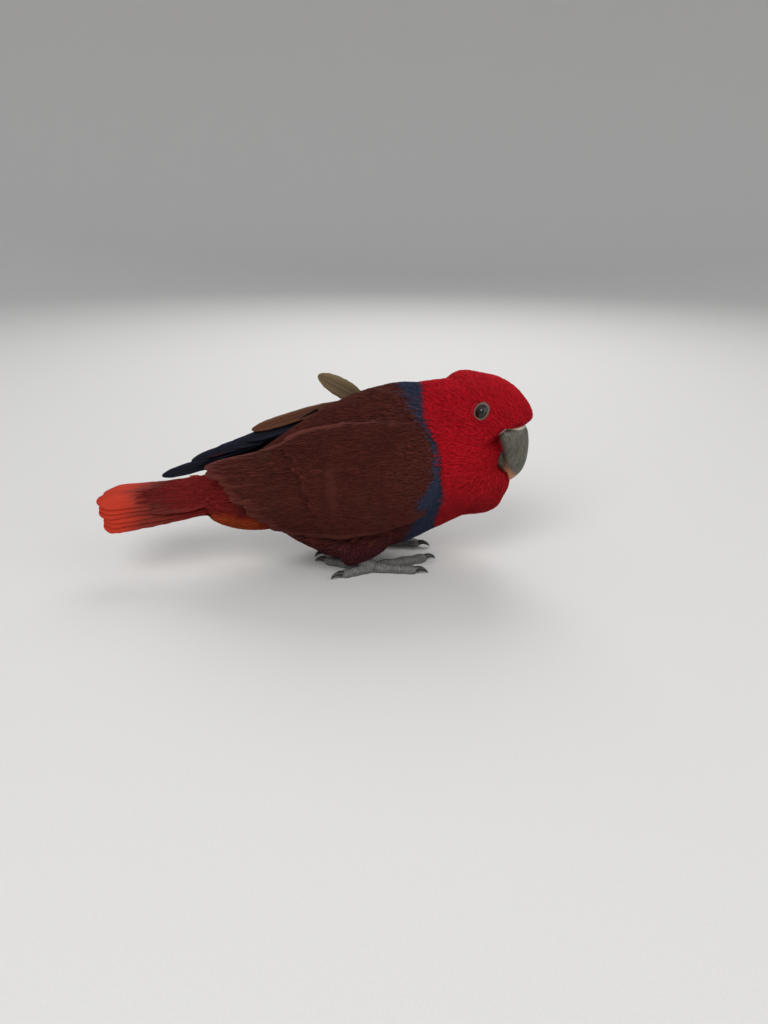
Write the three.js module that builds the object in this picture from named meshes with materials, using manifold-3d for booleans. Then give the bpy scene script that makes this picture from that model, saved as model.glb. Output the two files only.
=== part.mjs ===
// A hen eclectus parrot, crouching with her head turned to her right: a still, life-size model.
// Millimetres. She faces +X, her left is +Y, and she stands on the plane z = 0.
import * as THREE from "three";
import { mergeVertices } from "three/addons/utils/BufferGeometryUtils.js";
import Module from "manifold-3d";

const wasm = await Module();
wasm.setup();

// Driving dimensions
const GAP = 0.35; // air left between neighbouring pieces
const LEFT = 1;
const RIGHT = -1;

// The torso from the tail's root to the breast: x, height of the middle, half width, and the reach
// up and down from the middle.
const TORSO = [
  [-104, 50, 15, 12, 14],
  [-90, 53, 20, 16, 20],
  [-68, 56, 28, 25, 27],
  [-43, 61, 35, 36, 38],
  [-18, 63, 40, 48, 50],
  [6, 65, 41.5, 55, 56],
  [26, 67, 41, 55, 55],
  [44, 69, 39, 48, 49],
  [62, 68, 35, 40, 40],
  [78, 66, 28, 30, 32],
  [92, 64, 0, 0, 0],
];
// The surface that the wings and rump feathers lie on runs on past the torso's end.
const BEHIND_TORSO = [
  [-185, 46, 16, 14, 12],
  [-135, 48, 17, 15, 13],
  [-104, 52, 20, 18, 17],
];
const TORSO_AROUND = 24;
const TORSO_STEPS = 16;

// The head in its own frame: x forward, z up, the origin between the eyes.
const HEAD = [
  [-33, -4, 0, 0, 0],
  [-27, -4, 17, 15.2, 17.5],
  [-16, -4, 23, 19.6, 24],
  [-3, -4, 25, 23.6, 25.5],
  [9, -4, 23.5, 24, 25],
  [19, -3, 19.5, 20.5, 23],
  [27, 0, 14, 13.5, 17],
  [32.5, 2, 0, 0, 0],
];
const HEAD_AROUND = 22;
const HEAD_STEPS = 13;
const HEAD_AT = new THREE.Vector3(80, -5, 107);
const HEAD_TURN = THREE.MathUtils.degToRad(43); // to her right
const HEAD_NOD = THREE.MathUtils.degToRad(22); // bill down
const HEAD_TILT = THREE.MathUtils.degToRad(0);

// The neck's middle line from the shoulders into the head, with its half width and half depth.
const NECK = [
  [30, 0, 72, 38, 47],
  [46, 0, 77, 38, 45],
  [60, -1, 86, 35, 40],
  [70, -3, 97, 29, 32],
  [76, -4, 106, 22, 24],
];
const NECK_AROUND = 20;
const NECK_STEPS = 7;
// The nape, which fills the hollow between the shoulders and the crown.
const NAPE = [
  [16, 0, 100.3, 16, 22],
  [36, 0, 100.8, 18.5, 21.8],
  [57, -1, 104.4, 20, 20.3],
  [68, -2, 105.5, 19, 19],
];
// The fuller feathering under the root of the tail.
const VENT = [
  [-52, 0, 41, 19, 13],
  [-66, -1, 42, 18, 15],
  [-80, -2, 42.5, 16, 15],
  [-92, -3, 43, 13, 12],
  [-102, -3, 44, 8, 8],
];
const COLLAR = { at: new THREE.Vector3(42, 0, 72), facing: new THREE.Vector3(0.985, 0, 0.17) };
const THROAT = { at: new THREE.Vector3(66, 0, 88), facing: new THREE.Vector3(0.82, 0, 0.57) };

const EYE_RADIUS = 6;
const EYE_FORWARD = 7;
const EYE_SINK = 4; // how deep the eyeball's middle lies under the feathers
const LID_RADIUS = 5.2;
const LID_THICK = 1.1;

// Small helpers
const clamp = THREE.MathUtils.clamp;
const lerp = THREE.MathUtils.lerp;
const ease = (t) => THREE.MathUtils.smoothstep(t, 0, 1);

// A smooth curve through stations of [x, ...values].
function through(stations) {
  const slope = (i, column) => {
    const before = stations[Math.max(i - 1, 0)];
    const after = stations[Math.min(i + 1, stations.length - 1)];
    return (after[column] - before[column]) / (after[0] - before[0]);
  };
  return (x, column) => {
    const at = clamp(x, stations[0][0], stations.at(-1)[0]);
    let i = 0;
    while (i < stations.length - 2 && at > stations[i + 1][0]) i++;
    const span = stations[i + 1][0] - stations[i][0];
    const t = (at - stations[i][0]) / span;
    const [p, q] = [stations[i][column], stations[i + 1][column]];
    const [m, n] = [slope(i, column) * span, slope(i + 1, column) * span];
    const square = t * t;
    const cube = square * t;
    return (
      (2 * cube - 3 * square + 1) * p +
      (cube - 2 * square + t) * m +
      (3 * square - 2 * cube) * q +
      (cube - square) * n
    );
  };
}

// The cross-sections of a rounded body. Radii are smoothed as squares, so that an end closes round.
function sections(stations) {
  const curve = through(stations.map(([x, mid, ...radii]) => [x, mid, ...radii.map((r) => r * r)]));
  return (x) => ({
    mid: curve(x, 1),
    half: Math.sqrt(Math.max(curve(x, 2), 0)),
    up: Math.sqrt(Math.max(curve(x, 3), 0)),
    down: Math.sqrt(Math.max(curve(x, 4), 0)),
  });
}

// A closed mesh over rings of points, each ring with the same number, closed by a fan at each end.
function skinned(rings) {
  const around = rings[0].length;
  const points = rings.flat();
  const index = [];
  for (let i = 0; i + 1 < rings.length; i++)
    for (let j = 0; j < around; j++) {
      const [a, b] = [i * around + j, i * around + ((j + 1) % around)];
      index.push(a, b, a + around, b, b + around, a + around);
    }
  for (const [ring, start, flip] of [
    [rings[0], 0, true],
    [rings.at(-1), (rings.length - 1) * around, false],
  ]) {
    const centre = ring.reduce((sum, p) => sum.add(p), new THREE.Vector3()).divideScalar(around);
    points.push(centre);
    for (let j = 0; j < around; j++) {
      const [a, b] = [start + j, start + ((j + 1) % around)];
      index.push(...(flip ? [b, a, points.length - 1] : [a, b, points.length - 1]));
    }
  }
  return new THREE.BufferGeometry().setFromPoints(points).setIndex(index);
}

function solid(geometry) {
  const bare = geometry.clone();
  for (const name of Object.keys(bare.attributes)) if (name !== "position") bare.deleteAttribute(name);
  const merged = mergeVertices(bare, 1e-4);
  const index = new Uint32Array(merged.index.array);
  const make = () =>
    new wasm.Manifold(
      new wasm.Mesh({ numProp: 3, vertProperties: merged.attributes.position.array, triVerts: index }),
    );
  const made = make();
  if (made.volume() > 0) return made;
  for (let i = 0; i < index.length; i += 3) [index[i + 1], index[i + 2]] = [index[i + 2], index[i + 1]];
  return make();
}

const union = (pieces) => pieces.reduce((whole, piece) => whole.add(piece));

// A node keeps its largest closed surface.
function largest(manifold) {
  return manifold
    .decompose()
    .reduce((best, piece) => (piece.volume() > best.volume() ? piece : best));
}

function geometryOf(manifold) {
  const mesh = manifold.getMesh();
  const geometry = new THREE.BufferGeometry();
  geometry.setAttribute("position", new THREE.BufferAttribute(mesh.vertProperties, 3));
  geometry.setIndex(new THREE.BufferAttribute(mesh.triVerts, 1));
  geometry.computeVertexNormals();
  return geometry;
}

// The space in front of a plane, starting half a gap from it, or behind it when side is -1.
function beyond({ at, facing }, side) {
  const reach = 500;
  const normal = facing.clone().normalize().multiplyScalar(side);
  const box = new THREE.BoxGeometry(reach, reach, reach);
  box.translate(0, 0, reach / 2 + GAP / 2);
  box.applyQuaternion(new THREE.Quaternion().setFromUnitVectors(new THREE.Vector3(0, 0, 1), normal));
  return solid(box.translate(at.x, at.y, at.z));
}

// Torso and head
const torsoSection = sections(TORSO);
const restSection = sections([...BEHIND_TORSO, ...TORSO.slice(2)]);
const headSection = sections(HEAD);

function rounded(section, from, to, steps, around, grow, place = (p) => p) {
  const rings = [];
  for (let i = 0; i <= steps; i++) {
    const x = lerp(from, to, (1 - Math.cos((Math.PI * i) / steps)) / 2);
    const { mid, half, up, down } = section(x);
    const ring = [];
    for (let j = 0; j < around; j++) {
      const angle = (2 * Math.PI * j) / around;
      const height = Math.sin(angle) > 0 ? up : down;
      ring.push(
        place(
          new THREE.Vector3(
            x,
            (half + grow) * Math.cos(angle),
            mid + (height + grow) * Math.sin(angle),
          ),
        ),
      );
    }
    rings.push(ring);
  }
  return skinned(rings);
}

const torsoShape = (grow = 0) =>
  solid(rounded(torsoSection, TORSO[0][0] - grow, TORSO.at(-1)[0] + grow - 0.5, TORSO_STEPS, TORSO_AROUND, grow));

const headMatrix = new THREE.Matrix4().compose(
  HEAD_AT,
  new THREE.Quaternion().setFromEuler(new THREE.Euler(HEAD_TILT, HEAD_NOD, -HEAD_TURN, "ZYX")),
  new THREE.Vector3(1, 1, 1),
);
const inHead = (x, y, z) => new THREE.Vector3(x, y, z).applyMatrix4(headMatrix);

const headShape = () =>
  solid(
    rounded(headSection, HEAD[0][0] + 0.5, HEAD.at(-1)[0] - 0.5, HEAD_STEPS, HEAD_AROUND, 0, (p) =>
      p.applyMatrix4(headMatrix),
    ),
  );

// A tube of oval rings along a line of points, each [x, y, z, half width, half depth].
function tube(line, steps, around, grow = 0, floor = -Infinity) {
  const path = new THREE.CatmullRomCurve3(line.map(([x, y, z]) => new THREE.Vector3(x, y, z)));
  const size = (t, column) => {
    const at = t * (line.length - 1);
    const i = Math.min(Math.floor(at), line.length - 2);
    return lerp(line[i][column], line[i + 1][column], ease(at - i)) + grow;
  };
  const rings = [];
  for (let i = 0; i <= steps; i++) {
    const t = i / steps;
    const centre = path.getPoint(t);
    const along = path.getTangent(t);
    const across = new THREE.Vector3(0, 0, 1).cross(along).normalize();
    const over = along.clone().cross(across);
    const ring = [];
    for (let j = 0; j < around; j++) {
      const angle = (2 * Math.PI * j) / around;
      const p = centre
        .clone()
        .addScaledVector(across, size(t, 3) * Math.cos(angle))
        .addScaledVector(over, size(t, 4) * Math.sin(angle));
      p.z = Math.max(p.z, floor);
      ring.push(p);
    }
    rings.push(ring);
  }
  return solid(skinned(rings));
}

const neckShape = () => union([tube(NECK, NECK_STEPS, NECK_AROUND), tube(NAPE, 3, 10)]);

const rearShape = (grow = 0) => union([torsoShape(grow), tube(VENT, 4, 8, grow)]);

// A point on the bird's side: x along her, around in millimetres up from the middle of the flank,
// and lifted off the surface.
function onBody(side) {
  const bare = (x, around) => {
    const { mid, half, up, down } = restSection(x);
    const angle = around / ((half + (around > 0 ? up : down)) / 2);
    const height = angle > 0 ? up : down;
    return new THREE.Vector3(x, side * half * Math.cos(angle), mid + height * Math.sin(angle));
  };
  return (x, around, lift) => {
    const step = 0.5;
    const p = bare(x, around);
    const alongX = bare(x + step, around).sub(bare(x - step, around));
    const up = bare(x, around + step).sub(bare(x, around - step));
    const normal = alongX.cross(up).multiplyScalar(side).normalize();
    if (normal.dot(new THREE.Vector3(0, p.y, p.z - restSection(x).mid)) < 0) normal.negate();
    return p.addScaledVector(normal, lift);
  };
}

// A closed sheet over a grid: outer(u, v) and inner(u, v) share their triangles.
function sheet(columns, rows, outer, inner) {
  const points = [];
  for (const face of [outer, inner])
    for (let i = 0; i <= columns; i++)
      for (let j = 0; j <= rows; j++) points.push(face(i / columns, j / rows));
  const at = (face, i, j) => face * (columns + 1) * (rows + 1) + i * (rows + 1) + j;
  const index = [];
  const quad = (a, b, c, d) => index.push(a, b, c, a, c, d);
  for (let i = 0; i < columns; i++)
    for (let j = 0; j < rows; j++) {
      quad(at(0, i, j), at(0, i + 1, j), at(0, i + 1, j + 1), at(0, i, j + 1));
      index.push(at(1, i, j), at(1, i + 1, j + 1), at(1, i + 1, j));
      index.push(at(1, i, j), at(1, i, j + 1), at(1, i + 1, j + 1));
    }
  for (let i = 0; i < columns; i++) {
    quad(at(0, i + 1, 0), at(0, i, 0), at(1, i, 0), at(1, i + 1, 0));
    quad(at(0, i, rows), at(0, i + 1, rows), at(1, i + 1, rows), at(1, i, rows));
  }
  for (let j = 0; j < rows; j++) {
    quad(at(0, 0, j), at(0, 0, j + 1), at(1, 0, j + 1), at(1, 0, j));
    quad(at(0, columns, j + 1), at(0, columns, j), at(1, columns, j), at(1, columns, j + 1));
  }
  return solid(new THREE.BufferGeometry().setFromPoints(points).setIndex(index));
}

const VANE_STATIONS = [0, 0.4, 0.75, 0.93, 1];

// How wide a vane is along its length, as a share of its full width.
function vaneWidth(t, root = 0.5, blunt = 0.72) {
  const grown = lerp(root, 1, ease(clamp(t / 0.45, 0, 1)));
  const fall = clamp((t - blunt) / (1 - blunt), 0, 1);
  return grown * Math.sqrt(Math.max(1 - fall * fall * 0.95, 0));
}

// A feather from start to end on a surface: place(x, around, lift) puts its points there. Each end is
// [x, around, lift]. Lean tips it about its shaft.
function vane({ place, start, end, width, thick = 0.8, lean = 0, root = 0.5, rows = 2 }) {
  const [dx, dy] = [end[0] - start[0], end[1] - start[1]];
  const length = Math.hypot(dx, dy);
  const [sideX, sideY] = [-dy / length, dx / length];
  const columns = VANE_STATIONS.length - 1;
  const face = (u, v, out) => {
    const t = VANE_STATIONS[Math.round(u * columns)];
    const off = (v * 2 - 1) * (width / 2) * vaneWidth(t, root);
    const lift = lerp(start[2], end[2], t) + lean * off + out * (thick / 2);
    return place(start[0] + dx * t + sideX * off, start[1] + dy * t + sideY * off, lift);
  };
  return sheet(columns, rows, (u, v) => face(u, v, 1), (u, v) => face(u, v, -1));
}

// One wing, folded: a shield of small coverts over the arm, with tiers of larger feathers fused to it.
const WING = {
  front: 43, // where the bend of the wing lies
  rear: -46, // where the shield ends, over the roots of the long feathers
  thick: 5,
};
const SHIELD_COLUMNS = 11;
const SHIELD_ROWS = 7;
const WING_TOP = through([
  [-50, 36],
  [-20, 42],
  [0, 41],
  [24, 34],
  [46, 26],
]);
const wingTop = (x) => WING_TOP(x, 1);
const wingFoot = (x) => lerp(-22, -28, ease(clamp((50 - x) / 40, 0, 1)));

function shield(side) {
  const place = onBody(side);
  const layout = (u, v) => {
    const x = lerp(WING.front, WING.rear, u);
    const round = Math.sqrt(clamp(u / 0.16, 0, 1)) * 0.5 + 0.5;
    const middle = lerp(wingFoot(x), wingTop(x), 0.5);
    const half = ((wingTop(x) - wingFoot(x)) / 2) * round;
    return [x, middle + (v * 2 - 1) * half];
  };
  const under = (x) => lerp(0.8, 2.9, ease(clamp((-12 - x) / 12, 0, 1)));
  const body = (u, v) => {
    const swell = Math.sqrt(Math.sin(Math.PI * lerp(0.04, 0.96, v)));
    const fore = Math.sqrt(clamp(u / 0.2, 0.03, 1));
    return lerp(1, WING.thick, swell * fore);
  };
  return sheet(
    SHIELD_COLUMNS,
    SHIELD_ROWS,
    (u, v) => {
      const [x, around] = layout(u, v);
      return place(x, around, under(x) + body(u, v));
    },
    (u, v) => {
      const [x, around] = layout(u, v);
      return place(x, around, under(x));
    },
  );
}

// A row of feathers between two lines: each feather starts on one and ends on the other.
function tier({ place, count, from, to, width, thick, lean, root, vary = 0 }) {
  const feathers = [];
  for (let i = 0; i < count; i++) {
    const t = i / (count - 1);
    const uneven = vary * Math.sin(i * 2.4);
    const [start, end] = [from(t), to(t)];
    end[0] += uneven;
    feathers.push(vane({ place, start, end, width: width(t), thick, lean, root }));
  }
  return feathers;
}

const mix = (a, b) => (t) => a.map((value, i) => lerp(value, b[i], t));

// Feathers of her left wing that stand up out of place, seen over her back: root and tip on her flank.
const LOOSE = [
  { root: [6, 34, 5.5], tip: [-20, 52, 20], width: 13.5 },
  { root: [-16, 36, 7.5], tip: [-67, 38, 14], width: 8.5 },
  { root: [-30, 34, 6.5], tip: [-96, 27, 8.5], width: 8 },
];
const LOOSE_FACING = new THREE.Vector3(-0.15, -0.85, 0.5);

// A feather that stands clear of the body, its face turned the way it is seen.
function standing({ root, tip, width }) {
  const [from, to] = [root, tip].map((point) => onBody(LEFT)(...point));
  const along = to.clone().sub(from).normalize();
  const across = LOOSE_FACING.clone().cross(along).normalize();
  const over = along.clone().cross(across);
  const place = (x, around, lift) =>
    from.clone().addScaledVector(along, x).addScaledVector(across, around).addScaledVector(over, lift);
  return vane({ place, start: [0, 0, 0], end: [from.distanceTo(to), 0, 0], width, thick: 0.9 });
}

function wing(side) {
  const place = onBody(side);
  const secondaries = tier({
    place,
    count: 9,
    from: mix([-16, -20, 4.2], [-10, 34, 4.2]),
    to: mix([-52, -27, 4.6], [-104, 22, 6]),
    width: (t) => lerp(15, 13, t),
    thick: 0.7,
    lean: 0.14,
    vary: 1.2,
  });
  const greater = tier({
    place,
    count: 9,
    from: mix([12, -19, 4.6], [4, 36, 4.6]),
    to: mix([-30, -24, 6.6], [-52, 34, 7.6]),
    width: () => 13,
    thick: 0.7,
    lean: 0.14,
    vary: 1,
  });
  const loose = side === LEFT ? LOOSE.map(standing) : [];
  return largest(union([shield(side), ...secondaries, ...greater, ...loose]));
}

// The primaries show as a dark band beside the spine, above the other feathers' edge.
function primaries(side) {
  const place = onBody(side);
  const feathers = tier({
    place,
    count: 5,
    from: mix([-30, 26, 1.4], [-28, 43, 1.4]),
    to: mix([-92, 9, 1.3], [-109, 18, 3.9]),
    width: () => 10,
    thick: 0.5,
    root: 0.8,
  });
  const strip = sheet(
    2,
    4,
    (u, v) => place(lerp(-26, -40, u), lerp(22, 47, v), 2),
    (u, v) => place(lerp(-26, -40, u), lerp(22, 47, v), 0.8),
  );
  return largest(union([strip, ...feathers]));
}

// Eyes, with a bare ring of skin round each
const headSurface = (x, angle) => {
  const { mid, half, up, down } = headSection(x);
  const height = angle > 0 ? up : down;
  return new THREE.Vector3(x, half * Math.cos(angle), mid + height * Math.sin(angle));
};
const EYE_ANGLE = THREE.MathUtils.degToRad(20);

function eyeFrame(side) {
  const p = headSurface(EYE_FORWARD, EYE_ANGLE);
  const step = 0.5;
  const forward = headSurface(EYE_FORWARD + step, EYE_ANGLE).sub(headSurface(EYE_FORWARD - step, EYE_ANGLE));
  const up = headSurface(EYE_FORWARD, EYE_ANGLE + 0.02).sub(headSurface(EYE_FORWARD, EYE_ANGLE - 0.02));
  const normal = up.cross(forward).normalize();
  if (normal.y < 0) normal.negate();
  const mirror = new THREE.Vector3(1, side, 1);
  p.multiply(mirror);
  normal.multiply(mirror);
  return { at: p, normal };
}

function eyeball(side, grow = 0) {
  const { at, normal } = eyeFrame(side);
  const centre = at.clone().addScaledVector(normal, -EYE_SINK);
  return solid(
    new THREE.SphereGeometry(EYE_RADIUS + grow, 14, 8).applyMatrix4(
      headMatrix.clone().multiply(new THREE.Matrix4().makeTranslation(centre)),
    ),
  );
}

function lid(side) {
  const { at, normal } = eyeFrame(side);
  const turn = new THREE.Quaternion().setFromUnitVectors(new THREE.Vector3(0, 0, 1), normal);
  const ring = new THREE.TorusGeometry(LID_RADIUS, LID_THICK, 5, 16);
  ring.applyQuaternion(turn).translate(at.x, at.y, at.z);
  return solid(ring.applyMatrix4(headMatrix));
}

// A nostril, a small pit in the feathers over the bill's root.
const NOSTRIL = { radius: 1.3, forward: 31.2, out: 4.5, up: 5.5 };
const nostril = (side) =>
  solid(
    new THREE.SphereGeometry(NOSTRIL.radius, 8, 6)
      .translate(NOSTRIL.forward, side * NOSTRIL.out, NOSTRIL.up)
      .applyMatrix4(headMatrix),
  );

// The bill, swept round a hinge point low in the cheek. Stations: angle in degrees, reach of the
// culmen, reach of the cutting edge, half width.
const BILL_HINGE = [17, -16];
const UPPER_BILL = [
  [-47.5, 28.8, 28, 0.5],
  [-44, 28.6, 25.2, 2.2],
  [-38.5, 28, 21.5, 4],
  [-31.5, 27, 15.5, 5.9],
  [-21, 25.7, 10, 7.9],
  [-8, 23.8, 6.5, 9.3],
  [8, 22.3, 5, 10.2],
  [28, 21.8, 4, 10.8],
  [50, 22.2, 4, 10.8],
  [75, 20.5, 4, 9.5],
];
const BILL_AROUND = 14;
const BILL_STEPS = 14;

function upperBill(grow = 0) {
  const curve = through(UPPER_BILL);
  const rings = [];
  for (let i = 0; i <= BILL_STEPS; i++) {
    const degrees = lerp(UPPER_BILL[0][0], UPPER_BILL.at(-1)[0], (i / BILL_STEPS) ** 1.15);
    const angle = THREE.MathUtils.degToRad(degrees);
    const [outer, inner, half] = [curve(degrees, 1) + grow, curve(degrees, 2) - grow, curve(degrees, 3) + grow];
    const ring = [];
    for (let j = 0; j < BILL_AROUND; j++) {
      const turn = (2 * Math.PI * j) / BILL_AROUND;
      const reach = lerp(inner, outer, (1 + Math.cos(turn)) / 2);
      const ridge = 1 - 0.25 * Math.max(Math.cos(turn), 0);
      ring.push(
        inHead(
          BILL_HINGE[0] + reach * Math.cos(angle),
          half * ridge * Math.sin(turn),
          BILL_HINGE[1] + reach * Math.sin(angle),
        ),
      );
    }
    rings.push(ring);
  }
  return solid(skinned(rings));
}

const LOWER_BILL = [
  [10, -22, 8.5, 6, 5],
  [18, -23, 9, 7, 7],
  [25, -26, 7.8, 6, 6.5],
  [31, -29.5, 5, 4, 4],
  [34.5, -31, 0, 0, 0],
];

const lowerBill = (grow = 0) =>
  solid(
    rounded(sections(LOWER_BILL), LOWER_BILL[0][0], LOWER_BILL.at(-1)[0] - 0.3, 8, 12, grow, (p) =>
      p.applyMatrix4(headMatrix),
    ),
  );

// The tail: twelve feathers in a roofed fan, the middle pair on top, with coverts above and below.
const TAIL = {
  root: new THREE.Vector3(-101, 0, 54),
  droop: THREE.MathUtils.degToRad(3.5),
  roll: THREE.MathUtils.degToRad(26),
  length: 73,
  feather: 13.5,
  fan: 15.5,
  lean: -1.5, // how far the fan's middle lies to her right
  step: 0.8,
};
const tailMatrix = new THREE.Matrix4().compose(
  TAIL.root,
  new THREE.Quaternion().setFromEuler(new THREE.Euler(TAIL.roll, -TAIL.droop, 0, "ZYX")),
  new THREE.Vector3(1, 1, 1),
);
const inTail = (x, y, z) => new THREE.Vector3(-x, y, z).applyMatrix4(tailMatrix);

// The coverts over a side of the tail, 1 for the upper and -1 for the lower, in two layers.
function tailCoverts(side, count, spread, length) {
  const place = (x, around, lift) => inTail(x, around, side * (lift - 0.035 * around * around));
  const feathers = [];
  for (let i = 0; i < count; i++) {
    const k = (i / (count - 1)) * 2 - 1;
    const layer = 1.2 * (i % 2);
    const end = [length - 5 * k * k - 2 * (i % 2), k * spread, (side > 0 ? 5.5 : 7.5) + layer];
    feathers.push(
      vane({ place, start: [3, k * spread * 0.8, 10 + layer], end, width: 10, thick: 0.8 }),
    );
  }
  return feathers;
}

function tail() {
  const feathers = [];
  for (let i = 0; i < 12; i++) {
    const k = i - 5.5;
    const rank = Math.floor(Math.abs(k)); // 0 for the middle pair
    const low = 4 - TAIL.step * (2 * rank + (k > 0 ? 1 : 0));
    feathers.push(
      vane({
        place: (x, around, lift) => inTail(x, around, lift - 0.007 * around * around),
        start: [4, k * 1.8, low],
        end: [TAIL.length - 0.9 * rank - (i % 3), (k * TAIL.fan) / 5.5 + TAIL.lean, low],
        width: TAIL.feather,
        thick: 0.6,
        root: 0.7,
        rows: 1,
      }),
    );
  }
  const core = tube(
    [
      [0, 0, -1, 14.5, 13.5],
      [14, 0, -1.5, 12.5, 10],
      [30, 0, -2, 7, 4],
    ].map(([x, y, z, a, b]) => [...inTail(x, y, z).toArray(), a, b]),
    4,
    14,
  );
  const coverts = [...tailCoverts(1, 5, 10, 38), ...tailCoverts(-1, 5, 11, 34)];
  return largest(union([core, ...feathers, ...coverts]).subtract(rearShape(GAP)));
}

// Legs
const STANCE = 23; // each foot's distance from the middle
const SOLE = 2.5; // height of a toe's middle, low enough for a flat underside

function thighShape(side, grow = 0) {
  const y = side * STANCE;
  return tube(
    [
      [9, y * 0.75, 38, 14, 16],
      [1, y * 0.9, 25, 14, 15],
      [-10, y, 14.5, 9.5, 9.5],
      [-17.5, y, 10, 6.5, 6],
    ],
    9,
    14,
    grow,
  );
}

// The room the wing takes over the thigh.
function wingRoom(side) {
  const place = onBody(side);
  const face = (lift) => (u, v) => place(lerp(45, -70, u), lerp(-33, 20, v), lift);
  return sheet(10, 4, face(12), face(-4));
}

const thigh = (side) =>
  largest(thighShape(side).subtract(torsoShape(GAP)).subtract(wingRoom(side)));

const TOES = [
  { name: "hallux", turn: 162, length: 20, thick: 3.4 },
  { name: "inner", turn: 14, length: 27, thick: 3.6 },
  { name: "middle", turn: -16, length: 37, thick: 3.9 },
  { name: "outer", turn: -152, length: 32, thick: 3.7 },
];
const PAD = [2, 3.2]; // x and height of the sole's middle

function toeLine(side, { turn, length }) {
  const angle = THREE.MathUtils.degToRad(turn) * side;
  return (t, height) => [
    PAD[0] + Math.cos(angle) * length * t,
    side * STANCE + Math.sin(angle) * length * t,
    height,
  ];
}

function foot(side) {
  const toes = TOES.map((toe) => {
    const at = toeLine(side, toe);
    const knuckles = [0, 0.25, 0.45, 0.62, 0.8, 1];
    return tube(
      knuckles.map((t, i) => {
        const r = toe.thick * (i % 2 ? 1.06 : 0.94) * (1 - 0.14 * t);
        return [...at(t, SOLE - 0.7 * t), r, r];
      }),
      10,
      8,
      0,
      0,
    );
  });
  const y = side * STANCE;
  const shank = tube(
    [
      [PAD[0], y, PAD[1], 5, 4.5],
      [-6, y, 9, 4.4, 4.2],
      [-13, y, 12.5, 4.6, 4.4],
      [-16, y, 14, 4.4, 4.2],
    ],
    6,
    10,
    0,
    0,
  );
  return largest(union([...toes, shank]).subtract(thighShape(side, GAP)));
}

function claw(side, toe) {
  const at = toeLine(side, toe);
  const tip = toe.length + 10;
  const height = SOLE - 0.3;
  return tube(
    [
      [...at((toe.length + 1.1) / toe.length, height), 2.1, 2.4],
      [...at((toe.length + 4) / toe.length, height + 1.1), 1.8, 2],
      [...at((toe.length + 7.5) / toe.length, height + 0.2), 1.1, 1.2],
      [...at(tip / toe.length, 0.9), 0.35, 0.35],
    ],
    4,
    6,
    0,
    0.05,
  );
}

// Finishes
const finish = (color, roughness) => new THREE.MeshStandardMaterial({ color, roughness, metalness: 0 });
const RED = finish(0xb0101a, 0.8);
const MAROON = finish(0x4a1418, 0.8);
const BLUE_BLACK = finish(0x151a2c, 0.7);
const TAIL_RED = finish(0x9a2a1c, 0.8);
const HORN = finish(0x26241f, 0.4);
const SKIN = finish(0x3a3836, 0.7);
const EYE = finish(0x050505, 0.1);

const group = new THREE.Group();
function add(name, manifold, material) {
  const mesh = new THREE.Mesh(geometryOf(manifold), material);
  mesh.name = name;
  group.add(mesh);
}

const whole = union([rearShape(), neckShape(), headShape()]);
add("torso", largest(whole.intersect(beyond(COLLAR, -1))), MAROON);
add("neck", largest(whole.intersect(beyond(COLLAR, 1)).intersect(beyond(THROAT, -1))), RED);
const lidded = union([whole.intersect(beyond(THROAT, 1)), lid(LEFT), lid(RIGHT)]);
const openings = union([
  ...[LEFT, RIGHT].flatMap((side) => [eyeball(side, GAP), nostril(side)]),
  upperBill(GAP),
  lowerBill(GAP),
]);
add("head", largest(lidded.subtract(openings)), RED);
add("bill_upper", upperBill(), HORN);
add("bill_lower", largest(lowerBill().subtract(upperBill(GAP))), HORN);
add("tail", tail(), TAIL_RED);
for (const [side, name] of [
  [LEFT, "left"],
  [RIGHT, "right"],
]) {
  add("eye_" + name, eyeball(side), EYE);
  add("wing_" + name, wing(side), MAROON);
  add("primaries_" + name, primaries(side), BLUE_BLACK);
  add("thigh_" + name, thigh(side), MAROON);
  add("foot_" + name, foot(side), SKIN);
  for (const toe of TOES) add("claw_" + toe.name + "_" + name, claw(side, toe), HORN);
}
const box = new THREE.Box3().setFromObject(group);
const middle = box.getCenter(new THREE.Vector3());
group.position.set(-middle.x, -middle.y, -box.min.z);

export default group;
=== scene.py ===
import math
from functools import partial

import bpy
import numpy as np
from mathutils import Matrix, Vector
from mathutils.bvhtree import BVHTree
from mathutils.kdtree import KDTree


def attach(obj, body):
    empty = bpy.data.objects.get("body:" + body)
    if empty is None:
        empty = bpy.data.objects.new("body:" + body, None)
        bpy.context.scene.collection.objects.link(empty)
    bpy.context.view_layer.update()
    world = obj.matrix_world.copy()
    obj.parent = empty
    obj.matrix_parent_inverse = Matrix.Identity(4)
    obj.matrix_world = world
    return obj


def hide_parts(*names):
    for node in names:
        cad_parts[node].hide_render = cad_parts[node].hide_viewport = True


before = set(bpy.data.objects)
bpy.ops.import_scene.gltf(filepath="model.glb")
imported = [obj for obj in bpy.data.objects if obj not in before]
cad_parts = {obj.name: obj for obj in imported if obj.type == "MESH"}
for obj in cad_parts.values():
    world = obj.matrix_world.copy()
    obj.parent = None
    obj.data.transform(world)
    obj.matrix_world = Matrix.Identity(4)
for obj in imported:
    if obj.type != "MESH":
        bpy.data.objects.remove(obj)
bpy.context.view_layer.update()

# A hen eclectus parrot in full feather. Her own frame is in millimetres: x forward, y to her left,
# z up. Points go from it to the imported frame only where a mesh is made.
MM = 0.001
BIRD_X = 32.862  # where her own x = 0 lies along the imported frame
LEFT, RIGHT = 1, -1
SIDES = ((LEFT, "left"), (RIGHT, "right"))
rng = np.random.default_rng(11)

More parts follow.
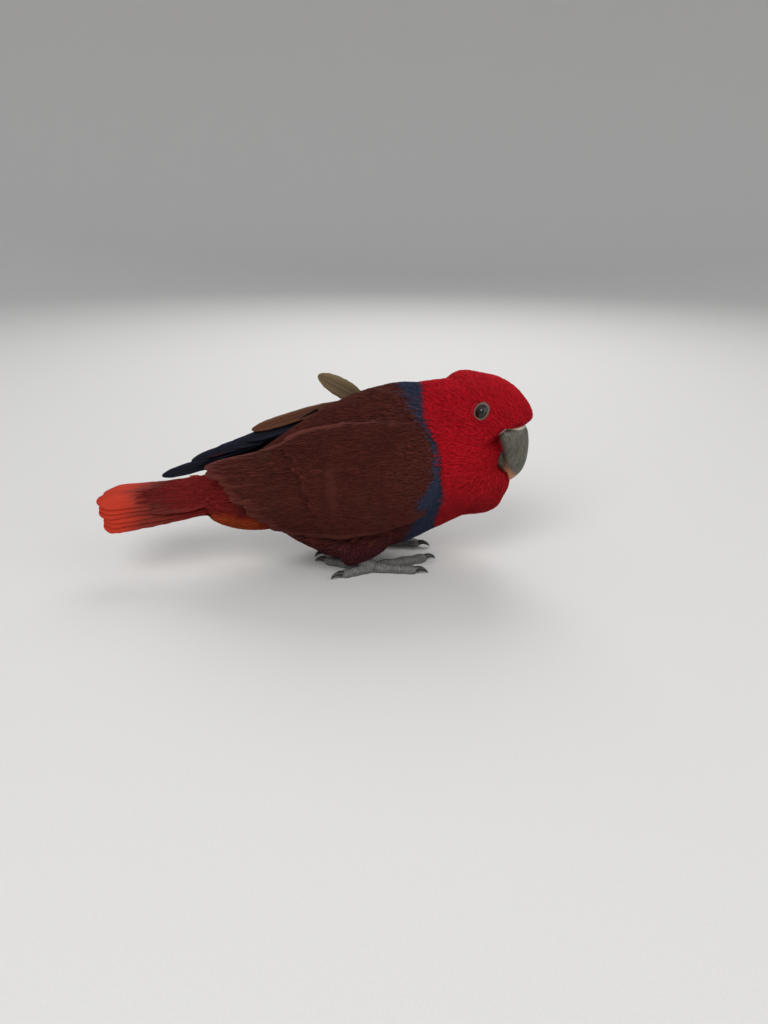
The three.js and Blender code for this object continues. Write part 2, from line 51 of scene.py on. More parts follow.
# The torso from the tail's root to the breast: x, height of the middle, half width, reach up, down.
TORSO = [
    (-104, 50, 15, 12, 14),
    (-90, 53, 20, 16, 20),
    (-68, 56, 28, 25, 27),
    (-43, 61, 35, 36, 38),
    (-18, 63, 40, 48, 50),
    (6, 65, 41.5, 55, 56),
    (26, 67, 41, 55, 55),
    (44, 69, 39, 48, 49),
    (62, 68, 35, 40, 40),
    (78, 66, 28, 30, 32),
    (92, 64, 0, 0, 0),
]
# Behind the torso the flank runs on as a sheet for the wing tips, by the same columns.
BEHIND_TORSO = [(-185, 46, 16, 14, 12), (-135, 48, 17, 15, 13), (-104, 52, 20, 18, 17)]
# The head, by the same columns in a frame of its own.
HEAD = [
    (-33, -4, 0, 0, 0),
    (-27, -4, 17, 15.2, 17.5),
    (-16, -4, 23, 19.6, 24),
    (-3, -4, 25, 23.6, 25.5),
    (9, -4, 23.5, 24, 25),
    (19, -3, 19.5, 20.5, 23),
    (27, 0, 14, 13.5, 17),
    (32.5, 2, 0, 0, 0),
]
# Tubes that join the two and fill them out: x, y and z of the middle, half width and half depth.
NECK = [
    (30, 0, 72, 38, 47),
    (46, 0, 77, 38, 45),
    (60, -1, 86, 35, 40),
    (70, -3, 97, 29, 32),
    (76, -4, 106, 22, 24),
]
NAPE = [
    (16, 0, 100.3, 16, 22),
    (27, 0, 101, 17.5, 22.3),
    (36, 0, 100.8, 18.5, 21.8),
    (46, 0, 102.3, 20, 21.3),
    (57, -1, 104.4, 20, 20.3),
    (68, -2, 105.5, 19, 19),
]
NAPE_LEFT = [(44, 6, 100, 17, 20), (56, 9, 102, 17, 19), (64, 10, 104, 15, 17)]
VENT = [
    (-52, 0, 41, 19, 13),
    (-66, -1, 42, 18, 15),
    (-80, -2, 42.5, 16, 15),
    (-92, -3, 43, 13, 12),
    (-102, -3, 44, 8, 8),
]
CROP = [
    (50, -5, 60, 26, 26),
    (66, -6, 58, 25, 25),
    (80, -7, 55, 21, 21),
    (89, -7, 55.5, 14.5, 13.5),
    (95.5, -6.5, 55, 6, 6),
]
# A thigh and the fluffed feathers before and behind it, with y as a share of the stance.
THIGH = [(9, 0.75, 38, 14, 16), (1, 0.9, 25, 14, 15), (-10, 1, 14.5, 9.5, 9.5), (-17.5, 1, 10, 6.5, 6)]
FLUFF = [
    (-62, 0.5, 44, 9, 9),
    (-46, 0.7, 34, 12, 10),
    (-30, 0.8, 26, 13, 11),
    (-15, 0.9, 20, 12, 12),
    (-4, 0.9, 19, 11, 11),
]
STANCE = 23  # how far each foot stands from her middle
HEAD_FRAME = (
    Matrix.Translation((80, -5, 107))
    @ Matrix.Rotation(math.radians(-43), 4, "Z")
    @ Matrix.Rotation(math.radians(22), 4, "Y")
)
TAIL_FRAME = (
    Matrix.Translation((-101, 0, 54))
    @ Matrix.Rotation(math.radians(-3.5), 4, "Y")
    @ Matrix.Rotation(math.radians(26), 4, "X")
)
SKIN_VOXEL = 1.3  # the fineness of the skin's mesh
COAT_BODY = 2.2  # the coat's depth over the body
COAT_HEAD = 1.7  # and over the head


# Numbers and curves
def lerp(a, b, t):
    """From a to b as t goes from 0 to 1."""
    return a + (b - a) * t


def ease(t):
    """A soft step from 0 to 1."""
    t = np.clip(t, 0, 1)
    return t * t * (3 - 2 * t)


def unit(v):
    """The vectors at length 1."""
    return v / np.maximum(np.linalg.norm(v, axis=-1, keepdims=True), 1e-9)


def dot(a, b):
    """The dot products of rows of vectors."""
    return (a * b).sum(-1)


def carried(matrix, points):
    """Points moved by a matrix."""
    m = np.array(matrix)
    return np.asarray(points, float) @ m[:3, :3].T + m[:3, 3]


def through(stations):
    """A smooth curve through rows of (x, ...values), read by x and column."""
    rows = np.array(stations, float)
    before = rows[np.maximum(np.arange(len(rows)) - 1, 0)]
    after = rows[np.minimum(np.arange(len(rows)) + 1, len(rows) - 1)]
    slopes = (after - before) / (after[:, :1] - before[:, :1])

    def value(x, column):
        at = np.clip(x, rows[0, 0], rows[-1, 0])
        i = np.clip(np.searchsorted(rows[:, 0], at, side="right") - 1, 0, len(rows) - 2)
        span = rows[i + 1, 0] - rows[i, 0]
        t = (at - rows[i, 0]) / span
        square, cube = t * t, t * t * t
        return (
            (2 * cube - 3 * square + 1) * rows[i, column]
            + (cube - 2 * square + t) * (slopes[i, column] * span)
            + (3 * square - 2 * cube) * rows[i + 1, column]
            + (cube - square) * (slopes[i + 1, column] * span)
        )

    return value


def profile(stations):
    """Sections of a rounded body: middle, half width, reach up and down. Radii are smoothed as squares."""
    rows = np.array(stations, float)
    rows[:, 2:] **= 2
    curve = through(rows)

    def at(x):
        return (curve(x, 1), *(np.sqrt(np.maximum(curve(x, c), 0)) for c in (2, 3, 4)))

    return at


torso_at = profile(TORSO)
head_at = profile(HEAD)
rest_at = profile(BEHIND_TORSO + TORSO[2:])


def flank(side, x, around, lift):
    """Points on her side: x along her, around in mm up from the middle of the flank, lifted off it."""

    def bare(x, around):
        mid, half, up, down = rest_at(x)
        reach = np.where(around > 0, up, down)
        angle = around / ((half + reach) / 2)
        return np.stack([x + 0 * angle, side * half * np.cos(angle), mid + reach * np.sin(angle)], -1)

    x, around, lift = np.broadcast_arrays(*(np.asarray(v, float) for v in (x, around, lift)))
    step = 0.5
    along = bare(x + step, around) - bare(x - step, around)
    over = bare(x, around + step) - bare(x, around - step)
    normal = unit(np.cross(along, over) * side)
    here = bare(x, around)
    outward = np.stack([0 * x, here[..., 1], here[..., 2] - rest_at(x)[0]], -1)
    normal = np.where((dot(normal, outward) < 0)[..., None], -normal, normal)
    return here + normal * lift[..., None]


def around_of(points):
    """How far up its side each point lies, the inverse of flank."""
    mid, half, up, down = rest_at(points[:, 0])
    height = points[:, 2] - mid
    reach = np.where(height > 0, up, down)
    angle = np.arctan2(height / reach, np.abs(points[:, 1]) / half)
    return angle * (half + reach) / 2


# Objects
def link(name, mesh):
    piece = bpy.data.objects.new(name, mesh)
    bpy.context.scene.collection.objects.link(piece)
    return piece


def pick(*pieces):
    """Selects these objects and no others, and makes the first one active."""
    bpy.ops.object.select_all(action="DESELECT")
    for piece in pieces:
        piece.select_set(True)
    bpy.context.view_layer.objects.active = pieces[0]


def packed(points):
    """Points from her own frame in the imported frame, in metres."""
    return (np.asarray(points, float) + (BIRD_X, 0, 0)) * MM


def read(items, what, columns, kind=float):
    """One property of all vertices, loops or triangles of a mesh, a row for each."""
    values = np.empty(len(items) * columns, kind)
    items.foreach_get(what, values)
    return values.reshape(-1, columns)


def coordinates(mesh):
    """A mesh's vertices in her own frame."""
    return read(mesh.vertices, "co", 3) / MM - (BIRD_X, 0, 0)


def mesh_piece(name, points, *faces):
    """A smooth mesh from points in her own frame and arrays of faces."""
    mesh = bpy.data.meshes.new(name)
    mesh.from_pydata(packed(points).tolist(), [], [face for block in faces for face in block.tolist()])
    mesh.shade_smooth()
    return link(name, mesh)


def ring_quads(count, around):
    """The faces between rings of vertices."""
    i, j = np.meshgrid(np.arange(count - 1), np.arange(around), indexing="ij")
    a, b = i * around + j, i * around + (j + 1) % around
    return np.stack([a, b, b + around, a + around], -1).reshape(-1, 4)


def rings_piece(name, rings, frame_of=None):
    """A closed mesh over rings of points, with a fan at each end."""
    if frame_of is not None:
        rings = carried(frame_of, rings)
    count, around = rings.shape[:2]
    points = np.concatenate([rings.reshape(-1, 3), rings[0].mean(0)[None], rings[-1].mean(0)[None]])
    near, far = np.arange(around), np.arange(around) + (count - 1) * around
    poles = len(points) - 2, len(points) - 1
    fans = [
        np.stack([np.roll(near, -1), near, np.full(around, poles[0])], -1),
        np.stack([far, np.roll(far, -1), np.full(around, poles[1])], -1),
    ]
    return mesh_piece(name, points, ring_quads(count, around), *fans)


def tree_over(pieces):
    """A search tree over the faces of some pieces, in her own frame."""
    points, faces = [], []
    for piece in pieces:
        faces += [[len(points) + i for i in face.vertices] for face in piece.data.polygons]
        points += coordinates(piece.data).tolist()
    return BVHTree.FromPolygons(points, faces)


def primitive(add, name, **settings):
    """A new primitive at the origin, with nothing else selected."""
    bpy.ops.object.select_all(action="DESELECT")
    add(**settings)
    bpy.context.object.name = name
    return bpy.context.object


def edit_all(piece):
    """Opens a mesh in edit mode with all of it selected."""
    pick(piece)
    bpy.ops.object.mode_set(mode="EDIT")
    bpy.ops.mesh.select_all(action="SELECT")


def leave_edit():
    bpy.ops.object.mode_set(mode="OBJECT")


def apply_modifier(piece, kind, **settings):
    pick(piece)
    bpy.ops.object.modifier_add(type=kind)
    modifier = piece.modifiers[-1]
    for name, value in settings.items():
        setattr(modifier, name, value)
    bpy.ops.object.modifier_apply(modifier=modifier.name)


def joined(forms):
    """Joins forms into the first of them."""
    pick(*forms)
    bpy.ops.object.join()
    return bpy.context.object


def remesh(piece, voxel, rounds):
    """Rebuilds joined forms as one closed skin and smooths it."""
    pick(piece)
    piece.data.remesh_voxel_size = voxel * MM
    bpy.ops.object.voxel_remesh()
    apply_modifier(piece, "SMOOTH", factor=0.5, iterations=rounds)


def place_points(piece, points):
    """Puts a mesh's vertices at points of her own frame."""
    piece.data.vertices.foreach_set("co", np.ascontiguousarray(packed(points), np.float32).ravel())
    piece.data.update()


def give(piece, name, values):
    """Stores a value for each vertex: four columns as a colour, three as a vector, one as its first part."""
    if values.ndim == 1:
        values = np.stack([values, 0 * values, 0 * values], -1)
    kind, what = ("FLOAT_COLOR", "color") if values.shape[1] == 4 else ("FLOAT_VECTOR", "vector")
    data = piece.data.attributes.new(name, kind, "POINT").data
    data.foreach_set(what, np.ascontiguousarray(values, np.float32).ravel())


def give_uv(piece, uv):
    """Stores the baking map from one uv for each vertex."""
    corners = read(piece.data.loops, "vertex_index", 1, np.int32)[:, 0]
    layer = piece.data.uv_layers.new(name="OFBake")
    layer.data.foreach_set("uv", np.ascontiguousarray(uv[corners], np.float32).ravel())


def dress(piece, material, slot, *nodes):
    """Finishes a piece: its material, the body it rides on and the nodes it replaces. Its slot is not used.
    """
    piece.data.materials.clear()
    piece.data.materials.append(material)
    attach(piece, "root")
    if nodes:
        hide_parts(*nodes)
    return piece


# Shader nodes
class Wire:
    """A socket in a material. Arithmetic on it adds Math nodes, and node() adds any other node."""

    def __init__(self, tree, socket=None):
        self.tree = tree
        self.socket = socket

    def node(self, kind, inputs, out=0, **settings):
        """A node with its settings made first, then its sockets linked or set, by name or number."""
        new = self.tree.nodes.new(kind)
        for name, value in settings.items():
            setattr(new, name, value)
        for name, value in inputs.items():
            if isinstance(value, Wire):
                self.tree.links.new(value.socket, new.inputs[name])
            else:
                new.inputs[name].default_value = value
        return Wire(self.tree, new.outputs[out] if len(new.outputs) else None)

    def math(self, operation, *values):
        return self.node("ShaderNodeMath", dict(enumerate(values)), operation=operation)

    def __add__(self, other):
        return self.math("ADD", self, other)

    __radd__ = __add__

    def __mul__(self, other):
        return self.math("MULTIPLY", self, other)

    __rmul__ = __mul__

    def __sub__(self, other):
        return self.math("SUBTRACT", self, other)

    def __rsub__(self, other):
        return self.math("SUBTRACT", other, self)

    def __abs__(self):
        return self.math("ABSOLUTE", self)

    def sine(self):
        return self.math("SINE", self)

    def step(self, low, high):
        """0 below low, 1 above high, and smooth between them."""
        sockets = {0: self, 1: low, 2: high}
        return self.node("ShaderNodeMapRange", sockets, interpolation_type="SMOOTHSTEP")

    def blend(self, a, b):
        """Colour a where this is 0 and colour b where it is 1."""
        sockets = {0: self, 6: solid(a), 7: solid(b)}
        return self.node("ShaderNodeMix", sockets, out=2, data_type="RGBA")

    def shade(self, colour):
        """A colour times this number."""
        return self.node("ShaderNodeVectorMath", {0: colour, 3: self}, operation="SCALE")

    def scaled(self, factors):
        """A vector stretched by three factors."""
        return self.node("ShaderNodeVectorMath", {0: self, 1: factors}, operation="MULTIPLY")

    def parts(self):
        """The three parts of a vector."""
        return [self.node("ShaderNodeSeparateXYZ", {0: self}, out=i) for i in range(3)]

    def place(self):
        """The object's own coordinates, in metres."""
        return self.node("ShaderNodeTexCoord", {}, out=3)

    def noise(self, scale, detail=2.0, roughness=0.5, where=None):
        """Noise about 0.5, by the object's own place unless another vector is given."""
        sockets = {"Scale": scale, "Detail": detail, "Roughness": roughness}
        return self.node("ShaderNodeTexNoise", {"Vector": where or self.place(), **sockets})

    def attribute(self, name, out=1):
        """A vertex attribute: 0 its colour, 1 its vector, 3 its alpha."""
        return self.node("ShaderNodeAttribute", {}, out=out, attribute_name=name)


def solid(colour):
    """A colour of three numbers gets its fourth."""
    return (*colour, 1.0) if isinstance(colour, tuple) and len(colour) == 3 else colour


def new_material(name):
    """A bare node material and a wire to build it with."""
    material = bpy.data.materials.new(name)
    material.use_nodes = True
    material.node_tree.nodes.clear()
    return material, Wire(material.node_tree)


def close_material(wire, bump=None, bump_depth=None, **sockets):
    """Ends a material in one Principled shader, with a bump of some metres' depth if one is given."""
    values = {name.replace("_", " "): solid(value) for name, value in sockets.items()}
    if bump is not None:
        relief = {"Height": bump, "Distance": bump_depth, "Strength": 1.0}
        values["Normal"] = wire.node("ShaderNodeBump", relief)
    shader = wire.node("ShaderNodeBsdfPrincipled", values)
    wire.node("ShaderNodeOutputMaterial", {0: shader})


# Camera, light and floor
# The camera's view is the photo's: focal length and sensor in mm, place in metres, turns in degrees.
LENS, SENSOR = 27.04, 36
CAMERA_AT = (-0.02203, -0.48305, 0.2310)
CAMERA_TURNS = (67.9, 0, -8)


def make_camera():
    """The camera that sees what the photo shows."""
    data = bpy.data.cameras.new("camera")
    data.lens = LENS
    data.sensor_width = SENSOR
    data.clip_start = 0.01
    camera = link("camera", data)
    camera.location = CAMERA_AT
    camera.rotation_euler = [math.radians(turn) for turn in CAMERA_TURNS]
    bpy.context.scene.camera = camera


LAMPS = [  # name, place, size and power in watts
    ("key", (-0.55, -1.0, 1.15), 0.9, 15),
    ("fill", (0.95, -0.75, 0.55), 1.1, 5),
    ("rim", (0.25, 0.95, 1.0), 0.8, 9),
]
LAMPS_AIM = Vector((0, 0, 0.06))  # the point that all of them face
SKY, SKY_STRENGTH = (0.9, 0.93, 1.0, 1.0), 0.6


def make_lights():
    for name, place, size, power in LAMPS:
        data = bpy.data.lights.new(name, "AREA")
        data.size = size
        data.energy = power
        lamp = link(name, data)
        lamp.location = place
        lamp.rotation_euler = (Vector(place) - LAMPS_AIM).to_track_quat("Z", "Y").to_euler()
    world = bpy.data.worlds.new("studio")
    world.use_nodes = True
    colour, strength = list(world.node_tree.nodes["Background"].inputs)[:2]
    colour.default_value = SKY
    strength.default_value = SKY_STRENGTH
    bpy.context.scene.world = world
    bpy.context.scene.view_settings.view_transform = "Standard"


FLOOR_RADIUS, RIM_RADIUS, WALL_HEIGHT = 1.7, 0.8, 1.2  # in metres
FLOOR_TONES = (0.585, 0.575, 0.555), (0.60, 0.59, 0.57)


def make_floor():
    """A pale round floor whose rim curves up far out, so that no horizon shows."""
    shape = {"vertices": 96, "radius": FLOOR_RADIUS, "fill_type": "NGON"}
    floor = primitive(bpy.ops.mesh.primitive_circle_add, "floor", **shape)
    edit_all(floor)
    bpy.ops.mesh.select_mode(type="EDGE")
    turns = [math.radians(9 * step) for step in range(11)]
    for before, after in zip(turns, turns[1:]):
        rise = RIM_RADIUS * (math.cos(before) - math.cos(after))
        grown = (FLOOR_RADIUS + RIM_RADIUS * math.sin(after)) / (FLOOR_RADIUS + RIM_RADIUS * math.sin(before))
        bpy.ops.mesh.extrude_edges_move(TRANSFORM_OT_translate={"value": (0, 0, rise)})
        bpy.ops.transform.resize(value=(grown, grown, 1), center_override=(0, 0, 0))
    bpy.ops.mesh.extrude_edges_move(TRANSFORM_OT_translate={"value": (0, 0, WALL_HEIGHT)})
    leave_edit()
    floor.data.shade_smooth()
    material, wire = new_material("studio_floor")
    tone = wire.noise(900.0, 2.0).step(0.3, 0.7).blend(*FLOOR_TONES)
    close_material(wire, Base_Color=tone, Roughness=0.75, Specular_IOR_Level=0.2)
    floor.data.materials.append(material)


# The bill: the upper one is swept round a hinge low in the cheek, by degrees up from straight ahead,
# with its outer and inner reach and half its width. No feathers grow on it below the feather line.
BILL_HINGE = (17, -16)
UPPER_BILL = [
    (-47.5, 28.8, 28, 0.6),
    (-45, 28.6, 24, 2.6),
    (-41.5, 28.2, 18, 4.8),
    (-36.5, 27.4, 12.5, 6.5),
    (-26, 25.9, 8, 8.4),
    (-8, 23.2, 5, 9.9),
    (8, 21.4, 3.6, 10.8),
    (28, 20.6, 3, 11.6),
    (50, 20.8, 3, 12),
    (75, 19.5, 4, 11),
]
LOWER_BILL = [
    (10, -22, 7.5, 7, 5),
    (18, -23, 8, 9, 7),
    (25, -26, 7, 9, 6.5),
    (31, -29.5, 4.4, 6, 4),
    (34.5, -31, 0, 0, 0),
]


# Skin
def lofted(name, section, start, end, grow, frame_of=None):
    """A rounded body between two stations, grown or shrunk by some millimetres."""
    t = np.linspace(0, 1, 49)
    x = lerp(start - grow, end + grow, (1 - np.cos(np.pi * t)) / 2)[:, None]
    mid, half, up, down = section(x)
    angle = np.linspace(0, 2 * np.pi, 64, endpoint=False)[None]
    height = np.where(np.sin(angle) > 0, up, down)
    wide = np.maximum(half + grow, 0.1) * np.cos(angle)
    tall = np.maximum(height + grow, 0.1) * np.sin(angle)
    return rings_piece(name, np.stack([x + 0 * wide, wide, mid + tall], -1), frame_of)


def tube(name, line, grow, frame_of=None, steps=30, around=40):
    """A closed tube through rows of (x, y, z, half width, half depth)."""
    curve = through([(i, *row) for i, row in enumerate(line)])
    t = np.linspace(0, len(line) - 1, steps + 1)
    centre = np.stack([curve(t, c) for c in (1, 2, 3)], -1)
    along = unit(np.gradient(centre, axis=0))
    across = unit(np.cross((0, 0, 1), along))
    over = np.cross(along, across)
    angle = np.linspace(0, 2 * np.pi, around, endpoint=False)
    wide = (curve(t, 4) + grow)[:, None] * np.cos(angle)
    tall = (curve(t, 5) + grow)[:, None] * np.sin(angle)
    rings = centre[:, None] + wide[..., None] * across[:, None] + tall[..., None] * over[:, None]
    return rings_piece(name, rings, frame_of)


# The folded wing on the flank: its upper edge in mm up from the flank's middle, and its two ends.
wing_top = through([(-50, 36), (-20, 42), (0, 41), (24, 34), (46, 26)])
WING_FRONT, WING_REAR = 43, -46


def wing_foot(x):
    """The wing's lower edge."""
    return lerp(-22, -28, ease((50 - x) / 40))


def wing_arm(side, grow):
    """The folded arm of a wing, sunk into the torso: its coverts grow on it."""
    u, v = np.meshgrid(np.linspace(0, 1, 41), np.linspace(0, 1, 31), indexing="ij")
    x = lerp(WING_FRONT, WING_REAR, u)
    top, foot = wing_top(x, 1), wing_foot(x)
    half = (top - foot) / 2 * (0.5 + 0.5 * np.sqrt(np.clip(u / 0.16, 0, 1)))
    around = (top + foot) / 2 + (2 * v - 1) * half
    swell = np.sqrt(np.sin(np.pi * lerp(0.04, 0.96, v))) * np.sqrt(np.clip(u / 0.2, 0.03, 1))
    swell = swell * ease((1.04 - u) / 0.3)
    under = lerp(0.8, 2.9, ease((-12 - x) / 12))
    outer = flank(side, x, around, under + lerp(1, 5, swell) + grow)
    inner = flank(side, x, around, -4)
    return rings_piece("arm", np.concatenate([outer, inner[:, ::-1]], 1))


# The tail's fleshy root in its own frame, as a tube.
TAIL_CORE = [(2, 0, -2, 14.5, 14), (-10, -1, -3.5, 13.5, 11), (-24, -2, -3.5, 11, 7), (-40, -2, -3, 6, 3)]
HORN_GAP = 1.2  # how far inside the horn the skin lies


def beside(side, rows):
    """A leg's rows on her left or right."""
    return [(x, y * side * STANCE, z, a, b) for x, y, z, a, b in rows]


def feather_line(share):
    """Up to how many degrees the bill is bare, by the share of its reach: highest on the sides."""
    return lerp(69, 54, ease((share - 0.62) / 0.35))


def recessed(points):
    """Skin round the bill's root, drawn in so that the horn stands clear of it up to the feather line."""
    local = carried(HEAD_FRAME.inverted(), points)
    x, z = local[:, 0] - BILL_HINGE[0], local[:, 2] - BILL_HINGE[1]
    reach, degrees = np.hypot(x, z), np.degrees(np.arctan2(z, x))
    curve = through(UPPER_BILL)
    outer, inner, half = (curve(np.maximum(degrees, -41), c) for c in (1, 2, 3))
    share = np.clip((reach - inner) / (outer - inner), 0, 1)
    beyond = np.maximum(degrees - feather_line(share), 0) * 1.3
    room = half * 2 * np.sqrt(share * (1 - share)) * (1 - 0.25 * np.maximum(2 * share - 1, 0)) - HORN_GAP
    room += beyond + 60 * np.maximum(0.1 - share, 0) + 3 * np.maximum(inner - reach, 0)
    below = degrees < -45
    room += below * (0.5 * np.maximum(-50 - degrees, 0) + 2 * np.maximum(reach - 11, 0))
    shorter = np.minimum(reach, outer - HORN_GAP + beyond) / np.maximum(reach, 1e-6)
    at = (degrees > -75) & (degrees < 90) & (x > 0) & (reach < np.where(below, 18, outer + 8))
    local[at, 0] = (BILL_HINGE[0] + x * shorter)[at]
    local[at, 2] = (BILL_HINGE[1] + z * shorter)[at]
    local[at, 1] = (np.sign(local[:, 1]) * np.minimum(np.abs(local[:, 1]), np.maximum(room, 0.5)))[at]
    return carried(HEAD_FRAME, local)


def make_skin():
    """One skin from the crown to the tail, under the coat by its depth."""
    skin = joined(
        [
            lofted("skin", torso_at, TORSO[0][0], TORSO[-1][0], -COAT_BODY),
            lofted("head_form", head_at, HEAD[0][0], HEAD[-1][0], -COAT_HEAD, HEAD_FRAME),
            tube("neck_form", NECK, -COAT_BODY),
            tube("nape_form", NAPE, -COAT_HEAD),
            tube("nape_left_form", NAPE_LEFT, -COAT_HEAD),
            tube("vent_form", VENT, -1),
            tube("tail_form", TAIL_CORE, -2.5, TAIL_FRAME),
            tube("crop_form", CROP, 0),
            *(tube("thigh_form", beside(side, THIGH), -1.8) for side, _ in SIDES),
            *(tube("fluff_form", beside(side, FLUFF), -1.8) for side, _ in SIDES),
            *(wing_arm(side, -COAT_BODY) for side, _ in SIDES),
        ]
    )
    remesh(skin, SKIN_VOXEL, 14)
    place_points(skin, recessed(coordinates(skin.data)))
    edit_all(skin)
    bpy.ops.uv.smart_project(angle_limit=math.radians(70), island_margin=0.004)
    leave_edit()
    skin.data.uv_layers[0].name = "OFBake"
    skin.data.shade_smooth()
    give(skin, "marks_and_shade", markings_and_shade(coordinates(skin.data)))
    return skin


# Markings, and painted shade low on the bib
# Where the red bib and the slate collar behind it end: their x at some heights.
BIB_Z = (20, 36, 56, 70, 89, 107, 123, 130)
BIB_X = (47, 43.3, 46.9, 42.7, 40.7, 34.7, 38.5, 40)
COLLAR_X = (24, 28.8, 28.4, 37.5, 37.5, 31, 24.1, 22)


def markings_and_shade(points):
    """Shares of crimson, slate, ember and plum at points of her plumage, the crimson cut by painted shade low
    on the bib. What is left is maroon.

    Ember above 1 turns to orange.
    """
    x, z = points[:, 0], points[:, 2]
    bib = ease((x - np.interp(z, BIB_Z, BIB_X)) / 1.6 + 0.5)
    # painted shade: the bib's crimson gives way to maroon down the breast, where the lower breast lies in
    # shade
    painted_bib_shade = 1 - 0.35 * ease((78 - z) / 40)
    collar = ease((x - np.interp(z, BIB_Z, COLLAR_X)) / 2.5 + 0.5)
    belly = 0.25 * ease((58 - z) / 30) + 0.75 * ease((27 - z) / 12) * ease((x + 55) / 30)
    rump = ease((-72 - x) / 16)
    slate = np.clip(collar, 0, 1) * (1 - bib)
    vent = ease((47 - z) / 9) * ease((-56 - x) / 14)
    ember = np.maximum(rump, vent) * (1 - slate) + vent
    plum = belly * (1 - bib) * (1 - slate) * (1 - rump) * (1 - vent)
    return np.stack([bib * painted_bib_shade, slate, ember, plum], -1)


class Ground:
    """The skin as the coat grows on it: its triangles, normals and baking map, and the nearest point."""

    def __init__(self, skin):
        mesh = skin.data
        mesh.calc_loop_triangles()
        corners = read(mesh.loop_triangles, "loops", 3, np.int32)
        self.points = coordinates(mesh)
        self.normals = read(mesh.vertices, "normal", 3, np.float32)
        self.triangles = read(mesh.loops, "vertex_index", 1, np.int32)[corners, 0]
        self.uv = read(mesh.uv_layers["OFBake"].data, "uv", 2, np.float32)[corners]
        a, b, c = (self.points[self.triangles[:, i]] for i in range(3))
        self.areas = np.linalg.norm(np.cross(b - a, c - a), axis=1) / 2
        self.tree = BVHTree.FromPolygons(self.points.tolist(), self.triangles.tolist())

    def scatter(self, count):
        """Random places all over: points, normals and their places on the baking map."""
        face = rng.choice(len(self.areas), count, p=self.areas / self.areas.sum())
        a, b = rng.random((2, count))
        a, b = np.where(a + b > 1, 1 - a, a), np.where(a + b > 1, 1 - b, b)
        share = np.stack([1 - a - b, a, b], -1)[..., None]
        corner = self.triangles[face]
        points, normals = ((v[corner] * share).sum(1) for v in (self.points, self.normals))
        return points, unit(normals), (self.uv[face] * share).sum(1)

    def nearest(self, points):
        """The nearest places on the skin, the ways out of it and their places on the baking map."""
        found = [self.tree.find_nearest(p) for p in points.tolist()]
        places = np.array([hit[0][:] for hit in found])
        face = [hit[2] for hit in found]
        return places, unit(self.normals[self.triangles[face]].mean(1)), self.uv[face].mean(1)


class Cover:
    """The outside of rows of feathers on a sheet, for the fine strands that lie over them.

    place(x, around, lift) gives points over the sheet, and locate(points) finds x and around again.
    """

    def __init__(self, place, locate, reach, rows):
        self.place, self.locate, self.reach = place, locate, reach
        self.tree = tree_over(rows)

    def at(self, x, around):
        """The outermost points over these places, the ways out of them, and which of them are covered."""
        outer, inner = (self.place(x, around, lift) for lift in (self.reach, 0))
        ups = unit(outer - inner)
        places = inner + ups * 4
        covered = np.zeros(len(places), bool)
        for i, (start, up) in enumerate(zip(outer.tolist(), ups.tolist())):
            hit = self.tree.ray_cast(start, [-v for v in up], self.reach - 1)[0]
            if hit is not None:
                places[i], covered[i] = hit, True
        return places, ups, covered

    def nearest(self, points):
        return self.at(*self.locate(points))


def spread(points, gaps):
    """Indices of points, in their order, that lie no closer to each other than their gaps."""
    tree = KDTree(len(points))
    for i, p in enumerate(points.tolist()):
        tree.insert(p, i)
    tree.balance()
    free = np.ones(len(points), bool)
    kept = []
    for i, (p, gap) in enumerate(zip(points.tolist(), gaps.tolist())):
        if free[i]:
            kept.append(i)
            free[[j for _, j, _ in tree.find_range(p, gap)]] = False
    return np.array(kept)


# The lie of the coat: away from the bill over the head and breast, then along her to the tail.
BILL_ROOT = carried(HEAD_FRAME, (33, 0, -8))


def lie_at(points, normals):
    """Which way the coat lies at points of the skin."""
    away = unit(points - BILL_ROOT)
    back = np.array((-1.0, 0, 0.05))
    follow = ease((52 - points[:, 0]) / 55)[:, None] * 1.6
    flow = away + follow * back
    from_leg = np.hypot(points[:, 0] + 3, np.abs(points[:, 1]) - 22)
    low = ease((34 - points[:, 2]) / 8) * ease((19 - from_leg) / 5)
    flow = lerp(unit(flow), np.array((-0.35, 0, -1.0)), low[:, None])
    return unit(flow - normals * dot(flow, normals)[:, None])


# The coat's feathers, vanes and strands: shares of their length and width, root first.
VANE = ((0, 0.3), (0.25, 0.75), (0.5, 0.98), (0.72, 0.96), (0.87, 0.72), (0.96, 0.38))
STRAND = ((0, 0.7), (0.4, 1), (0.78, 0.7))
VANES_EACH, STRANDS_EACH = 4000, 11000  # how many one piece holds
VANE_THICK = 0.05
ROOT_DEPTH = 0.4  # how far roots lie under the skin
TILE_SIZE = 0.003  # a small feather's height on the baking map


